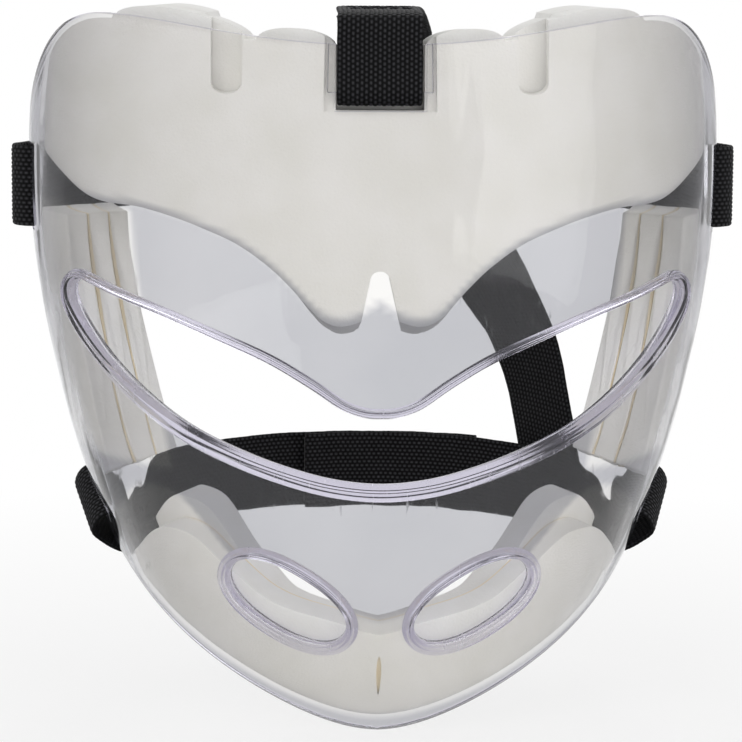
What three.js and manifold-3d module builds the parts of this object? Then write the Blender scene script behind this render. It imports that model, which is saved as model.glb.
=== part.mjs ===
// A clear field hockey face mask: one moulded polycarbonate shell with a raised rim round its eye opening and its two
// breathing vents, layered white foam pads inside, and a black webbing harness of five straps that close with hook and
// loop behind the head. The face looks towards -Y, +X is to the right of whoever looks at the mask, and +Z is up. The
// origin is where the mask bears on the wearer's brow: on the middle plane, level with the eyes, in the plane of the
// forehead pad's contact face. Lengths are in millimetres.
import * as THREE from 'three';
import { mergeVertices } from 'three/addons/utils/BufferGeometryUtils.js';
import Module from 'manifold-3d';

const wasm = await Module();
wasm.setup();

// Shell: overall size
const shellHalfWidth = 106.5;
const crownHeight = 100;
const shoulderRise = 8;
const shoulderDrop = 37;
const chinDepth = 104;
const jawRise = 62;
const mouthReach = 52;
const rearReach = 38;
const wall = 2.8;

// Shell: how its section and its edges run, as shares and plain exponents
const sectionPower = 2.3;
const shoulderAngle = THREE.MathUtils.degToRad(50);
const sideAngle = THREE.MathUtils.degToRad(90);
const shoulderPower = 2.2;
const jawPower = 1.6;
// Each row: share of the height from the chin to the shoulders, then share of the reach or of the half width
const reachShares = [
  [0, 0.58], [0.09, 0.82], [0.2, 0.98], [0.3, 1.0], [0.4, 0.97], [0.47, 0.89],
  [0.53, 0.8], [0.63, 0.65], [0.77, 0.53], [0.9, 0.475], [1, 0.45],
];
const widthShares = [
  [0, 0.47], [0.11, 0.64], [0.21, 0.745], [0.3, 0.82], [0.39, 0.88], [0.49, 0.93],
  [0.58, 0.967], [0.68, 0.993], [0.83, 1.0], [1, 0.967],
];

// Eye opening: half of its outline, from the middle outwards along the brow and back along the cheek
const eyeHalfWidth = 91;
const eyeHeight = 56;
const eyeFloor = -25;
const browOutlineShares = [
  [0, 0.33], [0.05, 0.335], [0.12, 0.37], [0.23, 0.48], [0.36, 0.594], [0.54, 0.71], [0.7, 0.805],
  [0.86, 0.89], [0.95, 0.945], [0.985, 0.965],
];
const cheekOutlineShares = [
  [1.0, 0.935], [0.995, 0.86], [0.955, 0.74], [0.88, 0.59], [0.76, 0.42], [0.62, 0.275], [0.46, 0.165],
  [0.3, 0.08], [0.15, 0.022], [0, 0],
];

// Breathing vents
const ventOffset = 27;
const ventHeight = -61;
const ventLength = 38;
const ventWidth = 17.5;
const ventTilt = THREE.MathUtils.degToRad(31);
const ventRoundness = 2.2;

// Raised rims
const browRimWidth = 2.8;
const cheekRimWidth = 5.4;
const eyeRimHeight = 5;
const rimTurnShare = 0.5;
const ventRimWidth = 3.6;
const ventRimHeight = 4.6;
const rimLift = 0.7;

// Webbing and the slots that it runs through
const webWidth = 25;
const webThickness = 1.6;
const slotPlay = 2;
const slotWidth = 6;
const barWidth = 9;
const loopPlay = 0.7;
const templeSlotHeight = 53.5;
const jawEdgeAngle = THREE.MathUtils.degToRad(83.5);
const crownBarHeight = 14;
const crownSlotWidth = 5.5;
const crownBarInset = 2.3;

// Foam pads: layer thicknesses and edges
const foamGap = 0.6;
const layerGap = 0.5;
const foreheadBase = 8;
const foreheadContact = 12;
const foreheadSide = THREE.MathUtils.degToRad(75);
const lobeRise = 5;
const lobeSink = 1.5;
const outerLobeMiddle = 61;
const outerLobeHalf = 19.5;
const innerLobeMiddle = 25;
const innerLobeHalf = 12;
const reliefMiddle = 45;
const reliefWidth = 9;
const reliefDepth = 16;
const browLobeHeight = 19.5;
const browEdgeRise = 40;
const contactEdgeRise = 2;
// Each row: share of the shell's half width, then share of the rise of the pad's lower edge
const browEdgeShares = [
  [0, 0.12], [0.06, 0.03], [0.12, 0], [0.165, 0.04], [0.2, 0.12], [0.24, 0.23], [0.31, 0.4], [0.4, 0.56],
  [0.5, 0.67], [0.58, 0.74], [0.68, 0.8], [0.8, 0.83], [0.87, 0.93], [1, 1.25],
];
const noseNotchWidth = 20;
const noseNotchTop = 34;
const noseNotchTip = 5.5;
const templeLayers = [7, 7, 6.5];
const templeFrontAngle = THREE.MathUtils.degToRad(62);
const templeRearAngle = THREE.MathUtils.degToRad(80);
const templeTop = 47;
const templeBottom = -30;
const templeBottomSlope = 7;
const chinBase = 8;
const chinContact = 9.5;
const chinSideAngle = THREE.MathUtils.degToRad(66);
const chinEdgeInset = 4;
const chinContactRise = 7;
const chinContactDip = 5;
const chinRiseFrom = 0.32;
const chinRiseTo = 0.58;
const chinPadHeight = 32;
const chinTopRise = 29;
// Each row: share of the way round to the pad's end, then share of the rise of its top edge
const chinTopShares = [
  [0, 0], [0.11, 0.12], [0.34, 0.34], [0.455, 0.64], [0.56, 0.93], [0.64, 1], [0.74, 0.96], [0.9, 0.7],
  [1, 0.55],
];
const chinSlitWidth = 2.2;
const chinSlitFloor = 13;
const chinSlitLength = 13;

// Harness: how far it stands behind the origin, and where its layers end
const upperRear = 104;
const lowerRear = 99;
const lowerRearHeight = -49;
const sewnLength = 24;
const neckLength = 13;
const neckBendRadius = 20;
const neckReach = 40;
const neckBendStep = THREE.MathUtils.degToRad(20);
const patchThickness = 1;
const patchInset = 1.5;
const seat = 0.3;
const upperOuterEnd = -12;
const upperInnerEnd = -60;
const lowerOuterEnd = 35;
const lowerInnerEnd = -20;
const crestRise = 9;
const crownHingeY = 2;
const crownPatchLength = 24;
const crownPatchMiddle = 57;
const crownPatchReach = 10;

// Route of the crown strap's free run: shares of the half width, the upper band's reach and the crest's height, then
// the way that its width runs
const crownRouteShares = [
  [0.0, 0.08, 1, 1, 0, 0], [0.02, 0.24, 0.985, 1, 0, 0], [0.06, 0.52, 0.9, 1, 0, 0],
  [0.094, 0.87, 0.752, 0.99, -0.05, 0.12], [0.178, 1.085, 0.523, 0.94, -0.17, 0.3],
  [0.34, 1.09, 0.229, 0.85, -0.27, 0.45], [0.505, 0.94, -0.073, 0.63, -0.47, 0.61],
];
const crownEndShares = [[0.53, 0.75], [0.56, 1], [0.58, 1.25]];
const crownEndPitch = 1.4;
// Shares of the way out to the bar
const bandKnotShares = [0.9, 0.8, 0.68];
for (let share = 0.55; share > -0.7; share -= 0.11) bandKnotShares.push(share);
const templeLeaveShare = 0.33;
const jawLeaveShare = 0.1;
const neckPower = 3;

// Mesh fineness
const stationStep = 6;
const loopOpening = 60;
const shellColumns = 38;
const shellRows = 20;
const padRows = 6;
const rimSides = 6;
const eyeSteps = 68;
const ventSteps = 24;
const overrun = 30;
const mergeDistance = 0.02;

// Finishes
const clearPlastic = new THREE.MeshStandardMaterial({
  color: 0xdfe1e6, roughness: 0.06, metalness: 0, transparent: true, opacity: 0.4,
});
const whiteFoam = new THREE.MeshStandardMaterial({ color: 0xe9e7e1, roughness: 0.85, metalness: 0 });
const blackWebbing = new THREE.MeshStandardMaterial({ color: 0x17171a, roughness: 0.9, metalness: 0 });
const blackPatch = new THREE.MeshStandardMaterial({ color: 0x0e0e10, roughness: 1, metalness: 0 });

const shoulderHeight = crownHeight + shoulderRise;
const fullHeight = shoulderHeight + chinDepth;
const crownCrest = crownHeight + crestRise;

// Smooth value between the rows of a table, by a cubic with the slopes of the neighbouring rows
function along(table, t) {
  const last = table.length - 1;
  let i = 0;
  while (i < last - 1 && t > table[i + 1][0]) i += 1;
  const slope = (k) => {
    const a = table[Math.max(k - 1, 0)];
    const b = table[Math.min(k + 1, last)];
    return (b[1] - a[1]) / (b[0] - a[0]);
  };
  const [x0, y0] = table[i];
  const [x1, y1] = table[i + 1];
  const span = x1 - x0;
  const u = Math.min(Math.max((t - x0) / span, 0), 1);
  const a = slope(i) * span - (y1 - y0);
  const b = -slope(i + 1) * span + (y1 - y0);
  return (1 - u) * y0 + u * y1 + u * (1 - u) * ((1 - u) * a + u * b);
}

const heightShare = (z) => (z + chinDepth) / fullHeight;
const frontAt = (z) => -mouthReach * along(reachShares, heightShare(z));
const halfWidthAt = (z) => shellHalfWidth * along(widthShares, heightShare(z));

// The shell's outer skin: every level section is a superellipse quarter pair that opens towards the rear
function skin(angle, z) {
  const side = Math.sign(angle) * Math.abs(Math.sin(angle)) ** (2 / sectionPower);
  const front = Math.abs(Math.cos(angle)) ** (2 / sectionPower);
  return new THREE.Vector3(
    halfWidthAt(z) * side,
    rearReach - (rearReach - frontAt(z)) * front,
    z,
  );
}

// Depth of the skin over a point of the front view
function skinDepth(x, z) {
  const share = Math.min(Math.abs(x) / halfWidthAt(z), 1) ** sectionPower;
  return rearReach - (rearReach - frontAt(z)) * (1 - share) ** (1 / sectionPower);
}

// How far a point lies outside the skin, as a plain number that is zero on it
function outside(p) {
  const side = Math.abs(p.x / halfWidthAt(p.z)) ** sectionPower;
  const depth = Math.max(rearReach - p.y, 0) / (rearReach - frontAt(p.z));
  return side + depth ** sectionPower - 1;
}

function skinNormal(p) {
  const step = wall / 100;
  const rise = (dx, dy, dz) => {
    const ahead = outside(new THREE.Vector3(p.x + dx, p.y + dy, p.z + dz));
    return ahead - outside(new THREE.Vector3(p.x - dx, p.y - dy, p.z - dz));
  };
  return new THREE.Vector3(rise(step, 0, 0), rise(0, step, 0), rise(0, 0, step)).normalize();
}

function below(angle, z, depth) {
  const p = skin(angle, z);
  return p.addScaledVector(skinNormal(p), -depth);
}

// Angle of the section at which the skin is a given distance from the middle plane
function angleAt(x, z) {
  const share = Math.min(Math.abs(x) / halfWidthAt(z), 1);
  return Math.sign(x) * Math.asin(share ** (sectionPower / 2));
}

function topEdge(angle) {
  const a = Math.abs(angle);
  if (a < shoulderAngle) {
    return crownHeight + shoulderRise * THREE.MathUtils.smoothstep(a, 0, shoulderAngle);
  }
  const past = (a - shoulderAngle) / (sideAngle - shoulderAngle);
  return shoulderHeight - shoulderDrop * past ** shoulderPower;
}

function bottomEdge(angle) {
  return -chinDepth + jawRise * (Math.abs(angle) / sideAngle) ** jawPower;
}

// Closed body from rings of points that all have the same count, with the same diagonals on both of its faces. They run
// the other way up to the ring given as turned, so that a layer turned back lies flat on the next
function bodyFromRings(rings, closed, turned = 0) {
  const count = rings[0].length;
  const positions = rings.flat().flatMap((p) => [p.x, p.y, p.z]);
  const index = [];
  const steps = closed ? rings.length : rings.length - 1;
  for (let i = 0; i < steps; i += 1) {
    const next = (i + 1) % rings.length;
    for (let j = 0; j < count; j += 1) {
      const k = (j + 1) % count;
      const a = i * count + j;
      const b = i * count + k;
      const c = next * count + k;
      const d = next * count + j;
      if ((j < count / 2) === (i >= turned)) index.push(a, b, c, a, c, d);
      else index.push(a, b, d, b, c, d);
    }
  }
  if (!closed) {
    const end = (rings.length - 1) * count;
    for (let j = 0; j < count / 2 - 1; j += 1) {
      const k = count - 1 - j;
      index.push(j, k, k - 1, j, k - 1, j + 1);
      index.push(end + j, end + j + 1, end + k - 1, end + j, end + k - 1, end + k);
    }
  }
  const geometry = new THREE.BufferGeometry();
  geometry.setAttribute('position', new THREE.Float32BufferAttribute(positions, 3));
  geometry.setIndex(index);
  return faceOutwards(geometry);
}

function volumeOf(geometry) {
  const p = geometry.attributes.position;
  const index = geometry.index.array;
  const a = new THREE.Vector3();
  const b = new THREE.Vector3();
  const c = new THREE.Vector3();
  let sum = 0;
  for (let i = 0; i < index.length; i += 3) {
    a.fromBufferAttribute(p, index[i]);
    b.fromBufferAttribute(p, index[i + 1]);
    c.fromBufferAttribute(p, index[i + 2]);
    sum += a.dot(b.cross(c)) / 6;
  }
  return sum;
}

function faceOutwards(geometry) {
  if (volumeOf(geometry) < 0) {
    const index = geometry.index.array;
    for (let i = 0; i < index.length; i += 3) {
      [index[i + 1], index[i + 2]] = [index[i + 2], index[i + 1]];
    }
  }
  return geometry;
}

// A layer under the skin between two depths: each column of it is a strip from its lower edge to its upper edge
function layerBody(angles, rows, lowAt, highAt, near, far) {
  const rings = angles.map((angle) => {
    const low = lowAt(angle);
    const high = highAt(angle);
    const ring = [];
    for (let j = 0; j <= rows; j += 1) ring.push(below(angle, low + ((high - low) * j) / rows, near));
    for (let j = rows; j >= 0; j -= 1) ring.push(below(angle, low + ((high - low) * j) / rows, far));
    return ring;
  });
  return bodyFromRings(rings, false);
}

function spread(from, to, count) {
  return Array.from({ length: count + 1 }, (_, i) => from + ((to - from) * i) / count);
}

function solid(geometry) {
  const bare = geometry.clone();
  bare.deleteAttribute('normal');
  bare.deleteAttribute('uv');
  const merged = mergeVertices(bare, 1e-5);
  return new wasm.Manifold(new wasm.Mesh({
    numProp: 3,
    vertProperties: new Float32Array(merged.attributes.position.array),
    triVerts: new Uint32Array(merged.index.array),
  }));
}

function geometryOf(body) {
  const mesh = body.simplify(mergeDistance).getMesh();
  const geometry = new THREE.BufferGeometry();
  geometry.setAttribute('position', new THREE.Float32BufferAttribute(mesh.vertProperties, 3));
  geometry.setIndex(new THREE.Uint32BufferAttribute(mesh.triVerts, 1));
  return geometry;
}

// A cutter with the given outline of the front view, between two distances behind the origin
function frontCutter(points, from, to) {
  const shape = new THREE.Shape(points);
  const geometry = new THREE.ExtrudeGeometry(shape, { depth: to - from, bevelEnabled: false });
  geometry.rotateX(Math.PI / 2);
  geometry.translate(0, to, 0);
  return solid(geometry);
}

function frontBox(xFrom, xTo, zFrom, zTo) {
  const corners = [[xFrom, zFrom], [xTo, zFrom], [xTo, zTo], [xFrom, zTo]];
  return frontCutter(corners.map(([x, z]) => new THREE.Vector2(x, z)), -mouthReach - overrun, rearReach);
}

function smoothOutline(points, count) {
  const knots = points.map(([x, z]) => new THREE.Vector3(x, z, 0));
  const curve = new THREE.CatmullRomCurve3(knots, true, 'centripetal');
  return curve.getSpacedPoints(count).slice(0, count).map((p) => new THREE.Vector2(p.x, p.y));
}

function eyeOutline() {
  const half = [...browOutlineShares, ...cheekOutlineShares];
  const place = ([x, z], side) => [side * x * eyeHalfWidth, eyeFloor + z * eyeHeight];
  const right = half.map((row) => place(row, 1)).reverse();
  const left = half.slice(1, -1).map((row) => place(row, -1));
  return smoothOutline([...right, ...left], eyeSteps);
}

function ventOutline(side) {
  const points = [];
  for (let i = 0; i < ventSteps; i += 1) {
    const turn = (2 * Math.PI * i) / ventSteps;
    const power = 2 / ventRoundness;
    const u = (ventLength / 2) * Math.sign(Math.cos(turn)) * Math.abs(Math.cos(turn)) ** power;
    const v = (ventWidth / 2) * Math.sign(Math.sin(turn)) * Math.abs(Math.sin(turn)) ** power;
    const x = ventOffset + u * Math.cos(ventTilt) - v * Math.sin(ventTilt);
    const z = ventHeight + u * Math.sin(ventTilt) + v * Math.cos(ventTilt);
    points.push(new THREE.Vector2(side * x, z));
  }
  return side > 0 ? points : points.reverse();
}

// Way out of an outline of the front view, at each of its points
function outwardOf(outline) {
  return outline.map((p, i) => {
    const ahead = outline[(i + 1) % outline.length];
    const behind = outline[(i + outline.length - 1) % outline.length];
    const run = ahead.clone().sub(behind).normalize();
    return new THREE.Vector2(run.y, -run.x);
  });
}

// The eye opening's rim is narrow along the brow and wide along the cheeks
function eyeRimWidths(outline) {
  return outwardOf(outline).map((way) => {
    const brow = THREE.MathUtils.smoothstep(way.y, -rimTurnShare, rimTurnShare);
    return THREE.MathUtils.lerp(cheekRimWidth, browRimWidth, brow);
  });
}

// An outline of the front view moved outwards by a share of the rim's width at each point
function widened(outline, widths, share) {
  return outwardOf(outline).map((way, i) => outline[i].clone().addScaledVector(way, widths[i] * share));
}

// A rounded bead laid on the shell along the edge of an opening
function rim(outline, widths, height) {
  const count = outline.length;
  const centres = outline.map((p) => new THREE.Vector3(p.x, skinDepth(p.x, p.y), p.y));
  const normals = centres.map((p) => skinNormal(p));
  const rings = centres.map((centre, i) => {
    const ahead = centres[(i + 1) % count];
    const behind = centres[(i + count - 1) % count];
    const run = ahead.clone().sub(behind).normalize();
    const across = new THREE.Vector3().crossVectors(run, normals[i]).normalize();
    const lift = new THREE.Vector3().crossVectors(across, run).normalize();
    const middle = centre.clone().addScaledVector(normals[i], rimLift - wall / 2);
    const ring = [];
    for (let j = 0; j < rimSides; j += 1) {
      const turn = (2 * Math.PI * (j + 0.5)) / rimSides;
      const point = middle.clone();
      point.addScaledVector(across, (widths[i] / 2) * Math.cos(turn));
      point.addScaledVector(lift, (height / 2) * Math.sin(turn));
      ring.push(point);
    }
    return ring;
  });
  return solid(bodyFromRings(rings, true));
}

// Bars that the straps turn round, each with its middle, its run and the way the strap leaves it
const templeBarX = halfWidthAt(templeSlotHeight) - wall / 2;
const templeBar = {
  middle: new THREE.Vector3(-templeBarX, rearReach - barWidth / 2, templeSlotHeight),
  run: new THREE.Vector3(0, 0, -1),
};

// The left jaw bar lies along the shell's lower edge, in the middle of the wall
function jawBarAt() {
  const onEdge = (angle) => skin(-angle, bottomEdge(angle));
  const turn = sideAngle - jawEdgeAngle;
  const edge = onEdge(jawEdgeAngle);
  const run = onEdge(jawEdgeAngle - turn).sub(onEdge(sideAngle)).normalize();
  const normal = skinNormal(edge);
  const inward = new THREE.Vector3().crossVectors(normal, run).normalize();
  const middle = edge.clone().addScaledVector(inward, barWidth / 2).addScaledVector(normal, -wall / 2);
  return { middle, run };
}
const jawBar = jawBarAt();
const jawBarTilt = Math.atan2(-jawBar.run.z, -jawBar.run.y);

// A slot through one side wall, cut straight across
function sideSlot(side, y, z, tilt) {
  const length = webWidth + slotPlay;
  const box = new THREE.BoxGeometry(shellHalfWidth, slotWidth, length);
  box.rotateX(-(Math.PI / 2 - tilt));
  box.translate(side * shellHalfWidth, y, z);
  return solid(box);
}

function clearShell() {
  let body = solid(layerBody(
    spread(-sideAngle, sideAngle, shellColumns), shellRows, bottomEdge, topEdge, 0, wall,
  ));
  const eye = eyeOutline();
  const ventWidths = Array(ventSteps).fill(ventRimWidth);
  const openings = [
    { edge: eye, widths: eyeRimWidths(eye), height: eyeRimHeight },
    { edge: ventOutline(-1), widths: ventWidths, height: ventRimHeight },
    { edge: ventOutline(1), widths: ventWidths, height: ventRimHeight },
  ];
  for (const { edge, widths, height } of openings) {
    const line = widened(edge, widths, 1 / 2);
    body = body.subtract(frontCutter(line, -mouthReach - overrun, rearReach / 2));
    body = body.add(rim(line, widths, height));
  }

  const half = (webWidth + slotPlay) / 2;
  const slotFloor = crownHeight - crownBarHeight - crownSlotWidth;
  body = body.subtract(frontBox(-half, half, slotFloor, shoulderHeight));
  const reach = half + slotPlay;
  const barAngles = spread(-angleAt(reach, crownHeight), angleAt(reach, crownHeight), 8);
  const barLow = () => crownHeight - crownBarHeight;
  const bar = layerBody(barAngles, 3, barLow, () => crownHeight, crownBarInset, crownBarInset + wall);
  body = body.add(solid(bar));

  const slotBack = barWidth / 2 + slotWidth / 2;
  for (const side of [-1, 1]) {
    body = body.subtract(sideSlot(side, templeBar.middle.y - slotBack, templeSlotHeight, Math.PI / 2));
    const y = jawBar.middle.y - slotBack * Math.sin(jawBarTilt);
    const z = jawBar.middle.z + slotBack * Math.cos(jawBarTilt);
    body = body.subtract(sideSlot(side, y, z, jawBarTilt));
  }
  return body;
}

// Forehead pad: two layers with scalloped tops, relief slots and a notch over the nose
function foreheadTop(angle) {
  const edge = topEdge(angle);
  const x = Math.abs(skin(angle, edge).x);
  const bump = (middle, half) => Math.sqrt(Math.max(1 - ((x - middle) / half) ** 2, 0));
  const rise = Math.max(bump(outerLobeMiddle, outerLobeHalf), bump(innerLobeMiddle, innerLobeHalf));
  return edge - lobeSink + lobeRise * rise;
}

function foreheadBottom(angle) {
  const x = Math.abs(skin(angle, templeTop).x) / shellHalfWidth;
  return browLobeHeight + browEdgeRise * along(browEdgeShares, x);
}

function foreheadLayer(near, far, isBase) {
  const angles = spread(-foreheadSide, foreheadSide, 40);
  const low = (angle) => foreheadBottom(angle) + (isBase ? 0 : contactEdgeRise);
  let body = solid(layerBody(angles, padRows, low, foreheadTop, near, far));
  const notch = [
    [-noseNotchWidth / 2, 0], [noseNotchWidth / 2, 0], [noseNotchTip / 2, noseNotchTop - noseNotchTip],
    [0, noseNotchTop], [-noseNotchTip / 2, noseNotchTop - noseNotchTip],
  ].map(([x, z]) => new THREE.Vector2(x, z));
  body = body.subtract(frontCutter(notch, -mouthReach - overrun, rearReach));
  if (isBase) {
    const reliefFloor = crownHeight - reliefDepth + lobeRise;
    for (const side of [-1, 1]) {
      const middle = side * reliefMiddle;
      const half = reliefWidth / 2;
      body = body.subtract(frontBox(middle - half, middle + half, reliefFloor, shoulderHeight + overrun));
    }
    const channelFloor = crownHeight - crownBarHeight - crownSlotWidth - webThickness;
    const half = webWidth / 2 + slotPlay * 2;
    body = body.subtract(frontBox(-half, half, channelFloor, shoulderHeight + overrun));
  }
  return body;
}

// Temple pads: three layers each on the side walls
function templeLayer(side, near, far) {
  const angles = spread(side * templeFrontAngle, side * templeRearAngle, 5);
  const spanAngle = templeRearAngle - templeFrontAngle;
  const low = (angle) => {
    const share = (Math.abs(angle) - templeFrontAngle) / spanAngle;
    return templeBottom - templeBottomSlope * share;
  };
  return solid(layerBody(angles, 12, low, () => templeTop, near, far));
}

// Chin pad: a U along the jaw in two layers, with a relief slit in the middle of the outer one
function chinTop(angle) {
  return -chinDepth + chinPadHeight + chinTopRise * along(chinTopShares, Math.abs(angle) / chinSideAngle);
}

function chinLayer(near, far, rise, dip) {
  const angles = spread(-chinSideAngle, chinSideAngle, 28);
  const low = (angle) => bottomEdge(angle) + chinEdgeInset;
  const wing = (angle) => THREE.MathUtils.smoothstep(Math.abs(angle) / chinSideAngle, chinRiseFrom, chinRiseTo);
  const high = (angle) => chinTop(angle) + (rise + dip) * wing(angle) - dip;
  return solid(layerBody(angles, padRows, low, high, near, far));
}

// A path's stations, each with its middle and the way that the width runs, made square: with the way its face looks
function framed(stations) {
  return stations.map(({ middle, across }, i) => {
    const ahead = stations[Math.min(i + 1, stations.length - 1)].middle;
    const behind = stations[Math.max(i - 1, 0)].middle;
    const run = ahead.clone().sub(behind).normalize();
    const side = across.clone().addScaledVector(run, -across.dot(run)).normalize();
    return { middle, side, face: new THREE.Vector3().crossVectors(side, run) };
  });
}

// Ribbon of webbing along squared stations, or a patch that lies off their middle line by an offset
function ribbon(frames, width, thickness, offset = 0, turned = 0) {
  const rings = frames.map(({ middle, side, face }) => {
    return [[1, 1], [1, -1], [-1, -1], [-1, 1]].map(([a, b]) => {
      const corner = middle.clone().addScaledVector(side, (a * width) / 2);
      return corner.addScaledVector(face, offset + (b * thickness) / 2);
    });
  });
  return bodyFromRings(rings, false, turned);
}

// Evenly spaced stations on a smooth curve through knots, with the width turning evenly between them
function stationsThrough(knots, spacing) {
  const curve = new THREE.CatmullRomCurve3(knots.map((k) => k.middle), false, 'centripetal');
  const count = Math.max(Math.round(curve.getLength() / spacing), 2);
  return spread(0, 1, count).map((share) => {
    const t = curve.getUtoTmapping(share);
    const place = t * (knots.length - 1);
    const i = Math.min(Math.floor(place), knots.length - 2);
    const across = knots[i].across.clone().lerp(knots[i + 1].across, place - i).normalize();
    return { middle: curve.getPoint(t), across };
  });
}

// Webbing that turns round a bar and is sewn back on itself, then runs on along the knots given
function loopedStrap(bar, leave, knots) {
  const away = leave.clone().addScaledVector(bar.run, -leave.dot(bar.run)).normalize();
  const aside = new THREE.Vector3().crossVectors(bar.run, away).normalize();
  const radius = Math.hypot(barWidth, wall) / 2 + loopPlay + webThickness / 2;
  const half = (webThickness + layerGap) / 2;
  const at = (u, v) => {
    const middle = bar.middle.clone().addScaledVector(away, u).addScaledVector(aside, v);
    return { middle, across: bar.run.clone() };
  };
  const slant = Math.sign(leave.dot(bar.run));
  const lead = [at(neckLength, -half)];
  for (let angle = neckBendStep; angle < away.angleTo(leave); angle += neckBendStep) {
    const knot = at(neckLength + neckBendRadius * Math.sin(angle), -half);
    knot.middle.addScaledVector(bar.run, slant * neckBendRadius * (1 - Math.cos(angle)));
    knot.across.multiplyScalar(Math.cos(angle)).addScaledVector(away, -slant * Math.sin(angle));
    lead.push(knot);
  }
  const main = framed(stationsThrough([...lead, ...knots], stationStep));
  const sewn = main.slice(0, Math.round(sewnLength / stationStep) + 1);
  const tail = turnedBack(sewn, 2 * half);
  const turn = [at(neckLength, half), at((neckLength + radius) / 2, (radius + half) / 2)];
  for (let angle = loopOpening; angle <= 360 - loopOpening; angle += loopOpening) {
    const a = THREE.MathUtils.degToRad(angle);
    turn.push(at(radius * Math.cos(a), radius * Math.sin(a)));
  }
  turn.push(at((neckLength + radius) / 2, -(radius + half) / 2), at(neckLength, -half));
  const loop = framed(stationsThrough(turn, stationStep / 3));
  return { frames: [...tail.slice(0, -1), ...loop.slice(0, -1), ...main], main, turned: tail.length - 1 };
}

// The same frames moved square to the face of the webbing, and run the other way
function turnedBack(frames, distance) {
  return frames.map(({ middle, side, face }) => {
    return { middle: middle.clone().addScaledVector(face, distance), side, face: face.clone().negate() };
  }).reverse();
}

function mirrored(frames) {
  const flip = (v) => new THREE.Vector3(-v.x, v.y, v.z);
  return frames.map(({ middle, side, face }) => {
    return { middle: flip(middle), side: flip(side), face: flip(face).negate() };
  });
}

// Middle line of a head band: half an ellipse behind its bar, seen from above
function bandPoint(bar, band, neckHeight, x) {
  const share = Math.min(Math.abs(x / bar.middle.x), 1);
  const deep = band.rear - bar.middle.y;
  const back = deep * Math.sqrt(1 - share ** 2);
  const lift = new THREE.Vector2(x / bar.middle.x ** 2, back / deep ** 2).setLength(band.lift * (1 - share ** 4));
  const z = THREE.MathUtils.lerp(band.height, neckHeight, share ** neckPower);
  return new THREE.Vector3(x + lift.x, bar.middle.y + back + lift.y, z);
}

// Half of a head band, on the left: from its bar to where it ends at the back of the head
function bandHalf(bar, leave, band, endX) {
  const down = new THREE.Vector3(0, 0, -1);
  const away = leave.clone().addScaledVector(bar.run, -leave.dot(bar.run)).normalize();
  const neckHeight = bar.middle.z + away.z * neckLength;
  const knots = bandKnotShares.map((share) => ({
    middle: bandPoint(bar, band, neckHeight, bar.middle.x * share),
    across: down,
  })).filter(({ middle }) => middle.y > bar.middle.y + neckReach && middle.x < endX - stationStep / 2);
  const end = bandPoint(bar, band, neckHeight, endX);
  return loopedStrap(bar, leave, [...knots, { middle: end, across: down }]);
}

const patchOffset = (webThickness + patchThickness) / 2 + seat;
const patchWidth = webWidth - 2 * patchInset;
const layerRise = webThickness + 2 * patchThickness + 3 * seat;
const lowerBand = { rear: lowerRear, height: lowerRearHeight, lift: 0 };
const upperBand = { rear: upperRear, height: templeSlotHeight, lift: 0 };
const templeLeave = new THREE.Vector3(templeLeaveShare, 1, 0);
const jawLeave = new THREE.Vector3(jawLeaveShare, 1, 0);

const upperOuter = bandHalf(templeBar, templeLeave, { ...upperBand, lift: layerRise }, upperOuterEnd);
const upperInner = bandHalf(templeBar, templeLeave, upperBand, -upperInnerEnd);
const lowerOuter = bandHalf(jawBar, jawLeave, { ...lowerBand, lift: layerRise }, lowerOuterEnd);
const lowerInner = bandHalf(jawBar, jawLeave, lowerBand, -lowerInnerEnd);
const upperRight = mirrored(upperInner.main);
const lowerRight = mirrored(lowerInner.main);

// A fastener patch on the face where a band meets its other half, over a stretch from side to side
function patchOn(frames, low, high) {
  const stretch = frames.filter(({ middle }) => middle.x >= low && middle.x <= high);
  return ribbon(stretch, patchWidth, patchThickness, patchOffset);
}

// Crown strap: its sewn loop stands over the top bar, and its free run goes back over the head to the lower band
const crownBarMiddle = (z) => frontAt(z) + crownBarInset + wall / 2;

function crownLoopStations() {
  const off = (wall + webThickness) / 2 + foamGap;
  const low = crownHeight - crownBarHeight;
  const layer = webThickness + foamGap;
  const loopDrop = webThickness + 3 * foamGap;
  const across = new THREE.Vector3(1, 0, 0);
  const beside = (side, z) => [crownBarMiddle(z) + side * off, z];
  const plan = [
    [crownHingeY - seat, crownCrest - layer], [crownHingeY - sewnLength / 3, crownCrest - layer],
    [(crownHingeY - sewnLength + crownBarMiddle(crownHeight)) / 2 + off, crownCrest - 2 * layer],
    beside(1, crownHeight), beside(1, (crownHeight + low) / 2), beside(1, low),
    [crownBarMiddle(low), low - loopDrop],
    beside(-1, low), beside(-1, (crownHeight + low) / 2), beside(-1, crownHeight),
    [(crownHingeY - sewnLength + crownBarMiddle(crownHeight)) / 2, crownCrest - webThickness],
    [crownHingeY - sewnLength / 3, crownCrest], [crownHingeY - seat, crownCrest],
  ];
  const knots = plan.map(([y, z]) => ({ middle: new THREE.Vector3(0, y, z), across }));
  return stationsThrough(knots, stationStep / 2);
}

// A point on the outer face of the lower band's right half, where the crown strap lies on it
function onLowerBand(x, z) {
  const i = lowerRight.findIndex(({ middle }) => middle.x < x);
  const [ahead, behind] = [lowerRight[i].middle, lowerRight[i - 1].middle];
  const run = ahead.clone().sub(behind).setZ(0).normalize();
  const place = behind.clone().lerp(ahead, (x - behind.x) / (ahead.x - behind.x));
  const face = new THREE.Vector3(-run.y, run.x, 0);
  if (face.y < 0) face.negate();
  const point = place.setZ(z).addScaledVector(face, layerRise + seat);
  return { point, face };
}

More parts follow.
